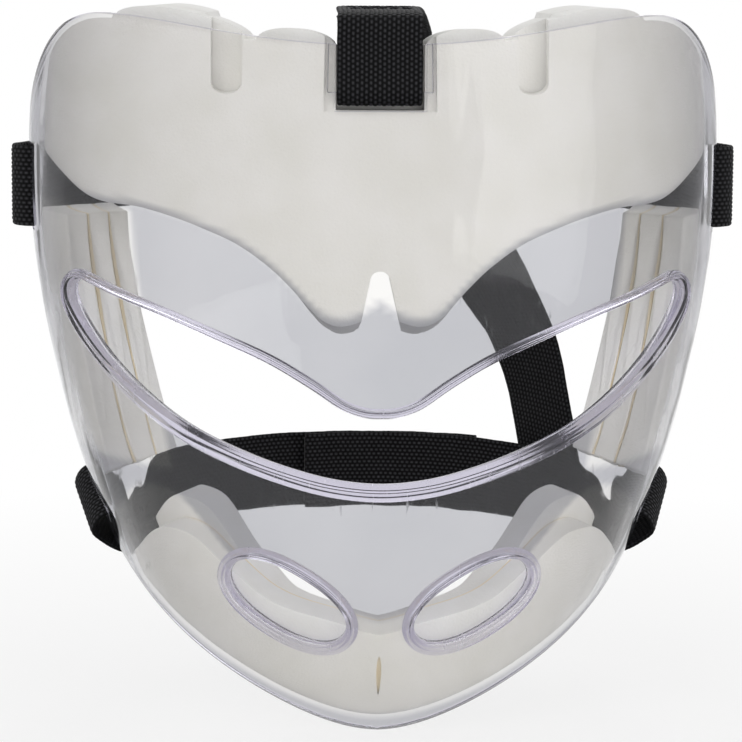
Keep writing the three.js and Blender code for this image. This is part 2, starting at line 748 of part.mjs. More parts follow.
function crownStations() {
  const start = new THREE.Vector3(0, crownHingeY, crownCrest);
  const knots = [{ middle: start, across: new THREE.Vector3(1, 0, 0) }];
  for (const [x, y, z, ax, ay, az] of crownRouteShares) {
    const middle = new THREE.Vector3(x * shellHalfWidth, y * upperRear, z * crownCrest);
    knots.push({ middle, across: new THREE.Vector3(ax, ay, az).normalize() });
  }
  for (const [x, z] of crownEndShares) {
    const { point, face } = onLowerBand(x * shellHalfWidth, z * lowerRearHeight);
    const slope = new THREE.Vector3(face.y, -face.x, -crownEndPitch).normalize();
    knots.push({ middle: point, across: new THREE.Vector3().crossVectors(slope, face).normalize() });
  }
  return stationsThrough(knots, stationStep);
}

const group = new THREE.Group();
group.name = 'field_hockey_face_mask';

function addPiece(name, shape, material) {
  const geometry = shape.isBufferGeometry ? shape : geometryOf(shape);
  const mesh = new THREE.Mesh(geometry, material);
  mesh.name = name;
  group.add(mesh);
}

addPiece('clear_shell', clearShell(), clearPlastic);

const foreheadNear = wall + foamGap;
const contactNear = foreheadNear + foreheadBase + layerGap;
addPiece('forehead_base_foam', foreheadLayer(foreheadNear, foreheadNear + foreheadBase, true), whiteFoam);
addPiece('forehead_contact_foam', foreheadLayer(contactNear, contactNear + foreheadContact, false), whiteFoam);

const templeNames = ['base', 'middle', 'contact'];
for (const [sideName, side] of [['left', -1], ['right', 1]]) {
  let near = foreheadNear;
  templeLayers.forEach((thickness, i) => {
    const name = `temple_${templeNames[i]}_foam_${sideName}`;
    addPiece(name, templeLayer(side, near, near + thickness), whiteFoam);
    near += thickness + layerGap;
  });
}

const chinNear = foreheadNear + chinBase + layerGap;
const slitFloor = -chinDepth + chinSlitFloor;
const slit = frontBox(-chinSlitWidth / 2, chinSlitWidth / 2, slitFloor, slitFloor + chinSlitLength);
addPiece('chin_base_foam', chinLayer(foreheadNear, foreheadNear + chinBase, 0, 0).subtract(slit), whiteFoam);
addPiece('chin_contact_foam', chinLayer(chinNear, chinNear + chinContact, chinContactRise, chinContactDip), whiteFoam);

const strap = (frames, turned = 0) => ribbon(frames, webWidth, webThickness, 0, turned);
addPiece('upper_band_left', strap(upperOuter.frames, upperOuter.turned), blackWebbing);
addPiece('upper_band_right', strap(mirrored(upperInner.frames), upperInner.turned), blackWebbing);
addPiece('lower_band_left', strap(lowerOuter.frames, lowerOuter.turned), blackWebbing);
addPiece('lower_band_right', strap(mirrored(lowerInner.frames), lowerInner.turned), blackWebbing);
addPiece('crown_bar_loop', strap(framed(crownLoopStations())), blackWebbing);
const crown = framed(crownStations());
addPiece('crown_strap', strap(crown), blackWebbing);

addPiece('upper_hook_patch', patchOn(upperOuter.main, upperInnerEnd, upperOuterEnd), blackPatch);
addPiece('upper_loop_patch', patchOn(upperRight, upperInnerEnd, upperOuterEnd), blackPatch);
addPiece('lower_hook_patch', patchOn(lowerOuter.main, lowerInnerEnd, lowerOuterEnd), blackPatch);
addPiece('lower_loop_patch', patchOn(lowerRight, lowerInnerEnd, lowerOuterEnd), blackPatch);
const crownEnd = crown.slice(-Math.round(crownPatchLength / stationStep) - 1);
addPiece('crown_hook_patch', ribbon(crownEnd, patchWidth, patchThickness, -patchOffset), blackPatch);
const crownPatch = [crownPatchMiddle - crownPatchReach, crownPatchMiddle + crownPatchReach];
addPiece('crown_loop_patch', patchOn(lowerRight, ...crownPatch), blackPatch);

export default group;
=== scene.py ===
from math import acos, asin, atan2, copysign, cos, hypot, pi, radians, sin, sqrt

import bmesh
import bpy
import numpy as np
from mathutils import Matrix, Vector
from mathutils.bvhtree import BVHTree
from mathutils.interpolate import poly_3d_calc


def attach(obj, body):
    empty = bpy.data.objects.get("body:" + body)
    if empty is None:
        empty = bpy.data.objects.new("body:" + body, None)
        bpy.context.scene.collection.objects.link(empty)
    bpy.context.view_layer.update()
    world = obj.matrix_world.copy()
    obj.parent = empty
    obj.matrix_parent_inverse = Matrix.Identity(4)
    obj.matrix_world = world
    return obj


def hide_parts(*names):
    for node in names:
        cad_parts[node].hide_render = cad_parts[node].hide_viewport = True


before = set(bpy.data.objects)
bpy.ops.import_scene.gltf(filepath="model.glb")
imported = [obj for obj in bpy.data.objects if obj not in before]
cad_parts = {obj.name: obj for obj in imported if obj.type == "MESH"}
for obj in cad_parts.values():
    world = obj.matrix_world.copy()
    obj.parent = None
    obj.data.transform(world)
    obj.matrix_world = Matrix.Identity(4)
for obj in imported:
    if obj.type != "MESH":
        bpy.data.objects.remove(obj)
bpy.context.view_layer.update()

# A clear face mask with foam pads and a webbing harness. Lengths are in millimetres until a mesh is made.
MM = 0.001

# Shell
HALF_WIDTH = 106.5
CROWN = 100.0
SHOULDER_RISE = 8.0
SHOULDER_DROP = 37.0
CHIN = 104.0
JAW_RISE = 62.0
MOUTH_REACH = 52.0
REAR = 38.0
WALL = 2.8
SECTION_POWER = 2.3
SHOULDER_ANGLE = radians(50)
SIDE_ANGLE = radians(90)
SHOULDER_POWER = 2.2
JAW_POWER = 1.6
REACH_SHARES = [
    (0, 0.58), (0.09, 0.82), (0.2, 0.98), (0.3, 1.0), (0.4, 0.97), (0.47, 0.89), (0.53, 0.8), (0.63, 0.65),
    (0.77, 0.53), (0.9, 0.475), (1, 0.45),
]
WIDTH_SHARES = [
    (0, 0.47), (0.11, 0.64), (0.21, 0.745), (0.3, 0.82), (0.39, 0.88), (0.49, 0.93), (0.58, 0.967),
    (0.68, 0.993), (0.83, 1.0), (1, 0.967),
]

# Eye opening and vents
EYE_HALF_WIDTH = 91.0
EYE_HEIGHT = 56.0
EYE_FLOOR = -25.0
BROW_SHARES = [
    (0, 0.33), (0.05, 0.335), (0.12, 0.37), (0.23, 0.48), (0.36, 0.594), (0.54, 0.71), (0.7, 0.805),
    (0.86, 0.89), (0.95, 0.945), (0.985, 0.965),
]
CHEEK_SHARES = [
    (1.0, 0.935), (0.995, 0.86), (0.955, 0.74), (0.88, 0.59), (0.76, 0.42), (0.62, 0.275), (0.46, 0.165),
    (0.3, 0.08), (0.15, 0.022), (0, 0),
]
VENT_OFFSET = 27.0
VENT_HEIGHT = -61.0
VENT_LENGTH = 38.0
VENT_WIDTH = 17.5
VENT_TILT = radians(31)
VENT_ROUNDNESS = 2.2
BROW_RIM = 2.8
CHEEK_RIM = 5.4
EYE_RIM_HEIGHT = 5.0
RIM_TURN = 0.5
VENT_RIM = 3.6
VENT_RIM_HEIGHT = 4.6
RIM_LIFT = 0.7
EDGE_TURN = 0.75
RIM_ALIGNED = 0.95
SKIN_MISS = 0.03
INNER_SKIN_MISS = 0.12
SKIN_STEP = 0.05
OUTLINE_STEP = 0.05
EYE_POINTS = 420
VENT_POINTS = 120
SHELL_EDGE = 0.9
BAR_EDGE = 0.5
WELD = 0.02
CUT_OVERRUN = 30.0

# Webbing and its slots
WEB = 25.0
WEB_THICK = 1.6
SLOT_PLAY = 2.0
SLOT = 6.0
BAR = 9.0
LOOP_PLAY = 0.7
TEMPLE_SLOT_Z = 53.5
JAW_EDGE_ANGLE = radians(83.5)
CROWN_BAR = 14.0
CROWN_SLOT = 5.5
CROWN_FLOOR = CROWN - CROWN_BAR - CROWN_SLOT
CROWN_INSET = 2.3
CHANNEL_PLAY = 0.5

# Foam pads
FOAM_GAP = 0.6
LAYER_GAP = 0.5
FOREHEAD_BASE = 8.0
FOREHEAD_CONTACT = 12.0
FOREHEAD_SIDE = radians(75)
LOBE_RISE = 5.0
LOBE_SINK = 1.5
OUTER_LOBE = (61.0, 19.5)
INNER_LOBE = (25.0, 12.0)
RELIEF = (45.0, 9.0, 20.0)
BROW_LOBE_Z = 19.5
BROW_EDGE_RISE = 40.0
CONTACT_EDGE_RISE = 2.0
BROW_EDGE_SHARES = [
    (0, 0.12), (0.06, 0.03), (0.12, 0), (0.165, 0.04), (0.2, 0.12), (0.24, 0.23), (0.31, 0.4), (0.4, 0.56),
    (0.5, 0.67), (0.58, 0.74), (0.68, 0.8), (0.8, 0.83), (0.87, 0.93), (1, 1.25),
]
NOSE_NOTCH = (20.0, 34.0, 6.0)
TEMPLE_LAYERS = (7.0, 7.0, 6.5)
TEMPLE_FRONT = radians(62)
TEMPLE_REAR = radians(80)
TEMPLE_TOP = 47.0
TEMPLE_BOTTOM = -30.0
TEMPLE_SLOPE = 7.0
CHIN_BASE = 8.0
CHIN_CONTACT = 9.5
CHIN_SIDE = radians(66)
CHIN_INSET = 4.0
CHIN_CONTACT_RISE = 7.0
CHIN_CONTACT_DIP = 5.0
CHIN_RISE_SPAN = (0.32, 0.58)
CHIN_TOP = -72.0
CHIN_TOP_RISE = 29.0
CHIN_TOP_SHARES = [
    (0, 0), (0.11, 0.12), (0.34, 0.34), (0.455, 0.64), (0.56, 0.93), (0.64, 1), (0.74, 0.96), (0.9, 0.7),
    (1, 0.55),
]
CHIN_SLIT = (1.7, -78.0, -91.0)
# How far the painted light over the pads reaches past the chin pad's top, and where it lies over the temple
# pads
CHIN_SHOWS = 7.5
TEMPLE_SHOWS = (69.2, 0.06, 5.0, 12.0)
PAD_FADE = 2.5
PAD_SIDE_FADE = radians(1.5)
PAD_EDGE = 0.8
POCKET_BACK = 1.0
POCKET_RISE = 5.0
SLIT_FILM_DEPTH = (1.2, 2.0)
SLIT_FILM_DROP = 2.0
FILM_INSET = 0.1
FILM_PLAY = 0.05
CHIN_FILM_END = 0.01
TEMPLE_FILM_END = 0.004

# Harness
UPPER_REAR = 104.0
LOWER_REAR = 99.0
LOWER_REAR_Z = -49.0
SEWN = 24.0
BOX_INSET = 3.0
BOX_LENGTH = 17.0
OUTER_BOX_START = 3.0
INNER_BOX_START = 4.0
CROWN_BOX_START = 1.0
CROWN_BOX_LENGTH = 10.0
NECK = 13.0
NECK_BEND = 20.0
NECK_BEND_STEP = radians(20)
NECK_REACH = 40.0
PATCH_THICK = 1.0
PATCH_INSET = 1.5
SEAT = 0.3
UPPER_OUTER_END = -12.0
UPPER_INNER_END = -60.0
LOWER_OUTER_END = 35.0
LOWER_INNER_END = -20.0
CREST = 109.0
HINGE_Y = 2.0
CROWN_PATCH = (57.0, 10.0, 24.0)
CROWN_ROUTE = [
    (0.0, 0.08, 1, 1, 0, 0), (0.02, 0.24, 0.985, 1, 0, 0), (0.06, 0.52, 0.9, 1, 0, 0),
    (0.094, 0.87, 0.752, 0.99, -0.05, 0.12), (0.178, 1.085, 0.523, 0.94, -0.17, 0.3),
    (0.34, 1.09, 0.229, 0.85, -0.27, 0.45), (0.505, 0.94, -0.073, 0.63, -0.47, 0.61),
]
CROWN_END = [(0.53, 0.75), (0.56, 1), (0.58, 1.25)]
CROWN_PITCH = 1.4
BAND_KNOTS = [0.9, 0.8, 0.68] + [0.55 - 0.11 * i for i in range(12)]
LAST_KNOT_GAP = 3.0
NECK_POWER = 3
LAYER_RISE = WEB_THICK + 2 * PATCH_THICK + 3 * SEAT
PATCH_OFFSET = (WEB_THICK + PATCH_THICK) / 2 + SEAT
PATCH_WIDTH = WEB - 2 * PATCH_INSET

SHOULDER_Z = CROWN + SHOULDER_RISE
FULL_HEIGHT = SHOULDER_Z + CHIN

# Weave
WEAVE_STEP = 0.5
WEAVE_PITCH = WEB / 19
WEAVE_RELIEF = 0.25
PIP = 1.6
PIP_CROWN = (0.7, 0.6)
STAGGER = 0.5
WANDER = 0.02
WANDER_LIMIT = 0.25
PILE_PITCH = 0.9
PILE_RELIEF = 0.22

# Tones, as red, green and blue out of 255, and gloss
OPEN_TONES = [(211, 211, 215), (198, 199, 204)]
# Near-white tint of the shell over the pads: painted light, so that the foam behind reads brighter
PAINTED_LIGHT_OVER_FOAM_TONE = (253, 252, 250)
# Grey mixed in where the shell turns away from the eye: painted shade, stronger higher up
PAINTED_SIDE_SHADE = (136, 136, 144)
# Two heights in metres, and the share of the painted side shade at each
PAINTED_SIDE_SHADE_SPAN = (-0.085, 0.03, 0.45, 1.25)
RIM_TONE = (214, 211, 226)
SKIN_ROUGHNESS = 0.03
RIM_ROUGHNESS = 0.2
FOAM_TONES = [(247, 246, 244), (241, 240, 236)]
FILM_TONES = [(250, 238, 212), (240, 224, 192)]
WEBBING_TONES = [(4, 4, 5), (7, 7, 8)]
THREAD_TONES = [(26, 26, 28), (36, 36, 39)]
PILE_TONES = [(20, 20, 22), (34, 34, 37)]


def unit(v):
    v = np.asarray(v, float)
    return v / np.linalg.norm(v, axis=-1, keepdims=True)


# Smooth value between the rows of a table
def along(table, t):
    x, y = np.array(table, float).T
    last = len(x) - 1
    k = np.arange(last + 1)
    up, down = np.minimum(k + 1, last), np.maximum(k - 1, 0)
    slope = (y[up] - y[down]) / (x[up] - x[down])
    t = np.asarray(t, float)
    i = np.clip(np.searchsorted(x, t) - 1, 0, last - 1)
    span = x[i + 1] - x[i]
    u = np.clip((t - x[i]) / span, 0, 1)
    a = slope[i] * span - (y[i + 1] - y[i])
    b = -slope[i + 1] * span + (y[i + 1] - y[i])
    return (1 - u) * y[i] + u * y[i + 1] + u * (1 - u) * ((1 - u) * a + u * b)


def front_at(z):
    return -MOUTH_REACH * along(REACH_SHARES, (z + CHIN) / FULL_HEIGHT)


def half_width_at(z):
    return HALF_WIDTH * along(WIDTH_SHARES, (z + CHIN) / FULL_HEIGHT)


def skin(angle, z):
    angle, z = np.broadcast_arrays(np.asarray(angle, float), np.asarray(z, float))
    side = np.sign(angle) * np.abs(np.sin(angle)) ** (2 / SECTION_POWER)
    front = np.abs(np.cos(angle)) ** (2 / SECTION_POWER)
    return np.stack([half_width_at(z) * side, REAR - (REAR - front_at(z)) * front, z], -1)


def skin_depth(x, z):
    share = np.minimum(np.abs(x) / half_width_at(z), 1) ** SECTION_POWER
    return REAR - (REAR - front_at(z)) * (1 - share) ** (1 / SECTION_POWER)


def outside(p):
    side = np.abs(p[..., 0] / half_width_at(p[..., 2])) ** SECTION_POWER
    depth = np.maximum(REAR - p[..., 1], 0) / (REAR - front_at(p[..., 2]))
    return side + depth ** SECTION_POWER - 1


# Change of the outside value from a step behind to a step ahead, along each axis
def slopes(p, step):
    return np.stack([outside(p + d) - outside(p - d) for d in np.eye(3) * step], -1)


def skin_normal(p):
    return unit(slopes(p, WALL / 100))


def below(angle, z, depth):
    p = skin(angle, z)
    return p - skin_normal(p) * depth


def angle_at(x, z):
    share = min(abs(x) / float(half_width_at(z)), 1)
    return copysign(asin(share ** (SECTION_POWER / 2)), x)


def smoothstep(t):
    t = np.clip(t, 0, 1)
    return t * t * (3 - 2 * t)


def top_edge(angle):
    a = np.abs(angle)
    rise = CROWN + SHOULDER_RISE * smoothstep(a / SHOULDER_ANGLE)
    past = np.clip((a - SHOULDER_ANGLE) / (SIDE_ANGLE - SHOULDER_ANGLE), 0, 1)
    return np.where(a < SHOULDER_ANGLE, rise, SHOULDER_Z - SHOULDER_DROP * past ** SHOULDER_POWER)


def bottom_edge(angle):
    return -CHIN + JAW_RISE * (np.abs(angle) / SIDE_ANGLE) ** JAW_POWER


# The same height at every angle
def level(z):
    return lambda angle: 0 * angle + z


# Mesh helpers

# Changes an object's mesh through a working copy
def rework(obj, change):
    work = bmesh.new()
    work.from_mesh(obj.data)
    change(work)
    work.to_mesh(obj.data)
    work.free()


def new_object(name, vertices, faces, uvs=None):
    mesh = bpy.data.meshes.new(name)
    mesh.from_pydata([tuple(v) for v in (np.asarray(vertices) * MM).tolist()], [], faces)
    if uvs is not None:
        corners = np.zeros(len(mesh.loops), np.int32)
        mesh.loops.foreach_get("vertex_index", corners)
        cloth = mesh.uv_layers.new(name="cloth")
        cloth.data.foreach_set("uv", np.asarray(uvs, np.float32)[corners].ravel())
    mesh.update()
    obj = bpy.data.objects.new(name, mesh)
    bpy.context.scene.collection.objects.link(obj)
    rework(obj, lambda work: bmesh.ops.recalc_face_normals(work, faces=work.faces))
    return obj


# Quads between rings of points that all have the same count
def ring_faces(rings, count, closed=False, first=0):
    faces = []
    steps = rings if closed else rings - 1
    for i in range(steps):
        a, b = first + i * count, first + ((i + 1) % rings) * count
        for j in range(count):
            k = (j + 1) % count
            faces.append((a + j, a + k, b + k, b + j))
    if not closed:
        faces.append(tuple(range(first + count - 1, first - 1, -1)))
        faces.append(tuple(range(first + (rings - 1) * count, first + rings * count)))
    return faces


def bake_modifiers(obj):
    graph = bpy.context.evaluated_depsgraph_get()
    mesh = bpy.data.meshes.new_from_object(obj.evaluated_get(graph))
    obj.modifiers.clear()
    old, obj.data = obj.data, mesh
    bpy.data.meshes.remove(old)


def combine(obj, tool, how):
    change = obj.modifiers.new("change", "BOOLEAN")
    change.operation = how
    change.solver = "MANIFOLD"
    change.object = tool
    bake_modifiers(obj)
    bpy.data.objects.remove(tool)


def cut(obj, tool):
    combine(obj, tool, "DIFFERENCE")


# Joins points that lie closer than the gap given, and takes out the slivers between them
def weld(obj, gap):
    def change(work):
        bmesh.ops.remove_doubles(work, verts=work.verts, dist=gap * MM)
        bmesh.ops.dissolve_degenerate(work, edges=work.edges, dist=gap * MM)

    rework(obj, change)


def soften_edges(obj, width, segments=3, angle=40):
    bevel = obj.modifiers.new("soft_edge", "BEVEL")
    bevel.width = width * MM
    bevel.segments = segments
    bevel.limit_method = "ANGLE"
    bevel.angle_limit = radians(angle)
    bake_modifiers(obj)


def shade_smooth(obj, angle=32):
    obj.data.shade_smooth()
    obj.data.set_sharp_from_angle(angle=radians(angle))


# A layer under the skin, between two depths and two edges
def layer(name, angles, rows, low, high, near, far):
    lows, highs = low(angles), high(angles)
    share = np.linspace(0, 1, rows + 1)
    z = lows[:, None] + (highs - lows)[:, None] * share[None, :]
    wide = np.repeat(angles[:, None], rows + 1, 1)
    outer = below(wide, z, near)
    inner = below(wide, z, far)[:, ::-1]
    points = np.concatenate([outer, inner], 1)
    count = points.shape[1]
    return new_object(name, points.reshape(-1, 3), ring_faces(len(angles), count))


# A layer across the middle plane, as wide as the reach each way, between two heights
def middle_layer(name, reach, low, high, near, far, steps=13):
    return layer(name, np.linspace(-reach, reach, steps), 12, level(low), level(high), near, far)


# A prism with an outline of the front view
def front_cutter(outline, far=REAR):
    points = [(x, y, z) for y in (-MOUTH_REACH - CUT_OVERRUN, far) for x, z in outline]
    return new_object("cutter", points, ring_faces(2, len(outline)))


def front_box(half, low, high):
    return front_cutter([(-half, low), (half, low), (half, high), (-half, high)])


# Curves

# Smooth curve through knots, with the place of each point among the knots
def curve_through(knots, closed=False, dense=48):
    k = np.asarray(knots, float)
    n = len(k)
    last = n if closed else n - 1
    points, places = [], []
    for i in range(last):
        p1, p2 = k[i], k[(i + 1) % n]
        p0 = k[i - 1] if i > 0 or closed else 2 * k[0] - k[1]
        p3 = k[(i + 2) % n] if i + 2 < n or closed else 2 * k[-1] - k[-2]
        pairs = ((p0, p1), (p1, p2), (p2, p3))
        d0, d1, d2 = (max(np.linalg.norm(b - a) ** 0.5, 1e-4) for a, b in pairs)
        t1 = ((p1 - p0) / d0 - (p2 - p0) / (d0 + d1) + (p2 - p1) / d1) * d1
        t2 = ((p2 - p1) / d1 - (p3 - p1) / (d1 + d2) + (p3 - p2) / d2) * d1
        u = np.linspace(0, 1, dense, endpoint=False)[:, None]
        square, cube = -3 * p1 + 3 * p2 - 2 * t1 - t2, 2 * p1 - 2 * p2 + t1 + t2
        points.append(p1 + t1 * u + square * u**2 + cube * u**3)
        places.append(i + u[:, 0])
    points.append(k[:1] if closed else k[-1:])
    places.append([float(last)])
    return np.concatenate(points), np.concatenate(places)


def length_along(points):
    return np.concatenate([[0], np.cumsum(np.linalg.norm(np.diff(points, axis=0), axis=1))])


def resample(points, spacing, *others):
    length = length_along(points)
    count = max(int(round(length[-1] / spacing)), 2)
    at = np.linspace(0, length[-1], count + 1)
    return [
        np.stack([np.interp(at, length, column) for column in values.T], -1) for values in (points, *others)]


# Points at even steps round a closed outline
def evened(outline, count):
    (even,) = resample(outline, OUTLINE_STEP)
    return even[np.linspace(0, len(even) - 1, count, endpoint=False).astype(int)]


def eye_outline(count):
    half = BROW_SHARES + CHEEK_SHARES
    right = [(x * EYE_HALF_WIDTH, EYE_FLOOR + z * EYE_HEIGHT, 0) for x, z in half][::-1]
    left = [(-x * EYE_HALF_WIDTH, EYE_FLOOR + z * EYE_HEIGHT, 0) for x, z in half[1:-1]]
    points, _ = curve_through(right + left, closed=True)
    return evened(points, count)[:, :2]


def vent_outline(side, count):
    turn = np.linspace(0, 2 * pi, count, endpoint=False)
    power = 2 / VENT_ROUNDNESS
    u = VENT_LENGTH / 2 * np.sign(np.cos(turn)) * np.abs(np.cos(turn)) ** power
    v = VENT_WIDTH / 2 * np.sign(np.sin(turn)) * np.abs(np.sin(turn)) ** power
    x = VENT_OFFSET + u * cos(VENT_TILT) - v * sin(VENT_TILT)
    z = VENT_HEIGHT + u * sin(VENT_TILT) + v * cos(VENT_TILT)
    points = np.stack([side * x, z], -1)
    points = points if side > 0 else points[::-1]
    return evened(np.vstack([points, points[:1]]), count)


def outward_of(outline):
    run = unit(np.roll(outline, -1, 0) - np.roll(outline, 1, 0))
    return np.stack([run[:, 1], -run[:, 0]], -1)


def smooth_round(values, passes):
    for _ in range(passes):
        values = (np.roll(values, 1, 0) + 2 * values + np.roll(values, -1, 0)) / 4
    return values


# Half of a rim's section, as shares of half its width and height: a rounded bead with a groove in its crown
HALF_SECTION = [
    (0.0, 0.7), (0.1, 0.72), (0.2, 0.86), (0.28, 0.97), (0.4, 1.0), (0.52, 0.96), (0.6, 0.8), (0.66, 0.68),
    (0.76, 0.66), (0.88, 0.58), (0.97, 0.38), (1.0, 0.1), (1.0, -0.3), (0.95, -0.62), (0.8, -0.88),
    (0.55, -0.98), (0.25, -1.0), (0.0, -1.0),
]
RIM_SECTION = HALF_SECTION + [(-a, b) for a, b in HALF_SECTION[-2:0:-1]]


# A moulded rim round an opening
def rim(name, outline, widths, height):
    way = smooth_round(outward_of(outline), 3)
    middle = outline + way * widths[:, None] / 2
    centre = np.stack([middle[:, 0], skin_depth(middle[:, 0], middle[:, 1]), middle[:, 1]], -1)
    normal = smooth_round(skin_normal(centre), 2)
    run = unit(np.roll(centre, -1, 0) - np.roll(centre, 1, 0))
    across = unit(np.cross(run, normal))
    lift = unit(np.cross(across, run))
    centre = centre + normal * (RIM_LIFT - WALL / 2)
    wide, tall = np.array(RIM_SECTION).T
    points = (
        centre[:, None]
        + across[:, None] * (widths[:, None, None] / 2) * wide[None, :, None]
        + lift[:, None] * (height / 2) * tall[None, :, None]
    )
    return new_object(name, points.reshape(-1, 3), ring_faces(len(outline), len(RIM_SECTION), closed=True))


# Shell

def on_jaw_edge(angle):
    return skin(-angle, bottom_edge(angle))


JAW_TURN = SIDE_ANGLE - JAW_EDGE_ANGLE
JAW_RUN = unit(on_jaw_edge(JAW_EDGE_ANGLE - JAW_TURN) - on_jaw_edge(SIDE_ANGLE))
JAW_NORMAL = skin_normal(on_jaw_edge(JAW_EDGE_ANGLE))
JAW_MIDDLE = (
    on_jaw_edge(JAW_EDGE_ANGLE) + unit(np.cross(JAW_NORMAL, JAW_RUN)) * BAR / 2 - JAW_NORMAL * WALL / 2
)
JAW_TILT = atan2(-JAW_RUN[2], -JAW_RUN[1])
TEMPLE_MIDDLE = np.array([-(float(half_width_at(TEMPLE_SLOT_Z)) - WALL / 2), REAR - BAR / 2, TEMPLE_SLOT_Z])
TEMPLE_RUN = np.array([0.0, 0.0, -1.0])
TEMPLE_LEAVE = unit([0.33, 1, 0])
JAW_LEAVE = unit([0.1, 1, 0])
CORNERS = ((-1, -1), (1, -1), (1, 1), (-1, 1))
SIDES = (("left", -1), ("right", 1))


def side_slot(side, y, z, tilt):
    length = WEB + SLOT_PLAY
    corners = []
    for x in (side * HALF_WIDTH / 2, side * HALF_WIDTH * 3 / 2):
        for a, b in CORNERS:
            u, v = a * SLOT / 2, b * length / 2
            back = y + u * sin(tilt) + v * cos(tilt)
            corners.append((x, back, z - u * cos(tilt) + v * sin(tilt)))
    return new_object("cutter", corners, ring_faces(2, 4))


def clear_shell():
    body = layer("shell", np.linspace(-SIDE_ANGLE, SIDE_ANGLE, 181), 110, bottom_edge, top_edge, 0, WALL)
    soften_edges(body, SHELL_EDGE)
    eye = eye_outline(EYE_POINTS)
    brow = smoothstep((outward_of(eye)[:, 1] + RIM_TURN) / (2 * RIM_TURN))
    eye_widths = smooth_round(CHEEK_RIM + (BROW_RIM - CHEEK_RIM) * brow, 6)
    openings = [(eye, eye_widths, EYE_RIM_HEIGHT)]
    for side in (-1, 1):
        openings.append((vent_outline(side, VENT_POINTS), np.full(VENT_POINTS, VENT_RIM), VENT_RIM_HEIGHT))
    rim_surfaces = []
    for edge, widths, height in openings:
        line = edge + outward_of(edge) * widths[:, None] / 2
        cut(body, front_cutter(line, REAR / 2))
        bead = rim("rim", edge, widths, height)
        rim_surfaces.append(surface_of(bead))
        combine(body, bead, "UNION")

    half = (WEB + SLOT_PLAY) / 2
    cut(body, front_box(half, CROWN_FLOOR, SHOULDER_Z))
    reach = angle_at(half + SLOT_PLAY, CROWN)
    bar = middle_layer("bar", reach, CROWN - CROWN_BAR, CROWN, CROWN_INSET, CROWN_INSET + WALL)
    soften_edges(bar, BAR_EDGE)
    combine(body, bar, "UNION")
    back = BAR / 2 + SLOT / 2
    for side in (-1, 1):
        cut(body, side_slot(side, TEMPLE_MIDDLE[1] - back, TEMPLE_SLOT_Z, pi / 2))
        y = JAW_MIDDLE[1] - back * sin(JAW_TILT)
        z = JAW_MIDDLE[2] + back * cos(JAW_TILT)
        cut(body, side_slot(side, y, z, JAW_TILT))
    weld(body, WELD)
    shade_smooth(body, 30)
    true_normals(body, rim_surfaces)
    body.name = "moulded_clear_shell"
    mark_foam_behind(body)
    return body


# A mesh's points in millimetres, with their heights kept on the shell
def points_of(mesh):
    flat = np.zeros(len(mesh.vertices) * 3, np.float32)
    mesh.vertices.foreach_get("co", flat)
    place = flat.reshape(-1, 3) / MM
    place[:, 2] = np.clip(place[:, 2], -CHIN, SHOULDER_Z)
    return place


# A search tree of a mesh, with its faces' corners and their smooth normals
def surface_of(obj):
    mesh = obj.data
    points = [v.co.copy() for v in mesh.vertices]
    faces = [tuple(f.vertices) for f in mesh.polygons]
    return BVHTree.FromPolygons(points, faces), points, faces, [v.normal.copy() for v in mesh.vertices]


# Shading normals taken from the skins and the rims themselves, so that the cuts between them leave no marks,
# and a mark on the faces of the rims and the cut edges
def true_normals(body, rim_surfaces):
    mesh = body.data
    corners = np.zeros(len(mesh.loops) * 3, np.float32)
    mesh.corner_normals.foreach_get("vector", corners)
    normals = corners.reshape(-1, 3).astype(float)
    place = points_of(mesh)
    skin_way = skin_normal(place)
    steepness = np.linalg.norm(slopes(place, SKIN_STEP) / (2 * SKIN_STEP), axis=-1)
    depth = -outside(place) / steepness
    inner_depth = -outside(place + skin_way * WALL) / steepness
    marks = np.zeros(len(mesh.loops), np.float32)
    for face in mesh.polygons:
        points = list(face.vertices)
        loops = slice(face.loop_start, face.loop_start + face.loop_total)
        facing = skin_way[points] @ np.array(face.normal)
        if np.all(np.abs(depth[points]) < SKIN_MISS) and np.all(facing > EDGE_TURN):
            found = skin_way[points]
        elif np.all(np.abs(inner_depth[points]) < INNER_SKIN_MISS) and np.all(facing < -EDGE_TURN):
            found = -skin_way[points]
        else:
            found = rim_normals(mesh, face, rim_surfaces)
            marks[loops] = found is not None or np.all(np.abs(facing) < EDGE_TURN)
        if found is not None:
            normals[loops] = found
    mesh.normals_split_custom_set(unit(normals).tolist())
    mesh.attributes.new("rim_zone", "FLOAT", "CORNER").data.foreach_set("value", marks)


# The rims' own normals at a face's corners, or None for a face that lies on no rim
def rim_normals(mesh, face, rim_surfaces):
    for tree, points, faces, normals in rim_surfaces:
        _, way, _, away = tree.find_nearest(face.center, SKIN_MISS * MM)
        if away is None or way.dot(face.normal) < RIM_ALIGNED:
            continue
        found = []
        for vertex in face.vertices:
            here = mesh.vertices[vertex].co
            nearest, _, index, _ = tree.find_nearest(here)
            ring = faces[index]
            shares = poly_3d_calc([points[i] for i in ring], nearest)
            found.append(sum((normals[i] * share for i, share in zip(ring, shares)), Vector()))
        return np.array(found)
    return None
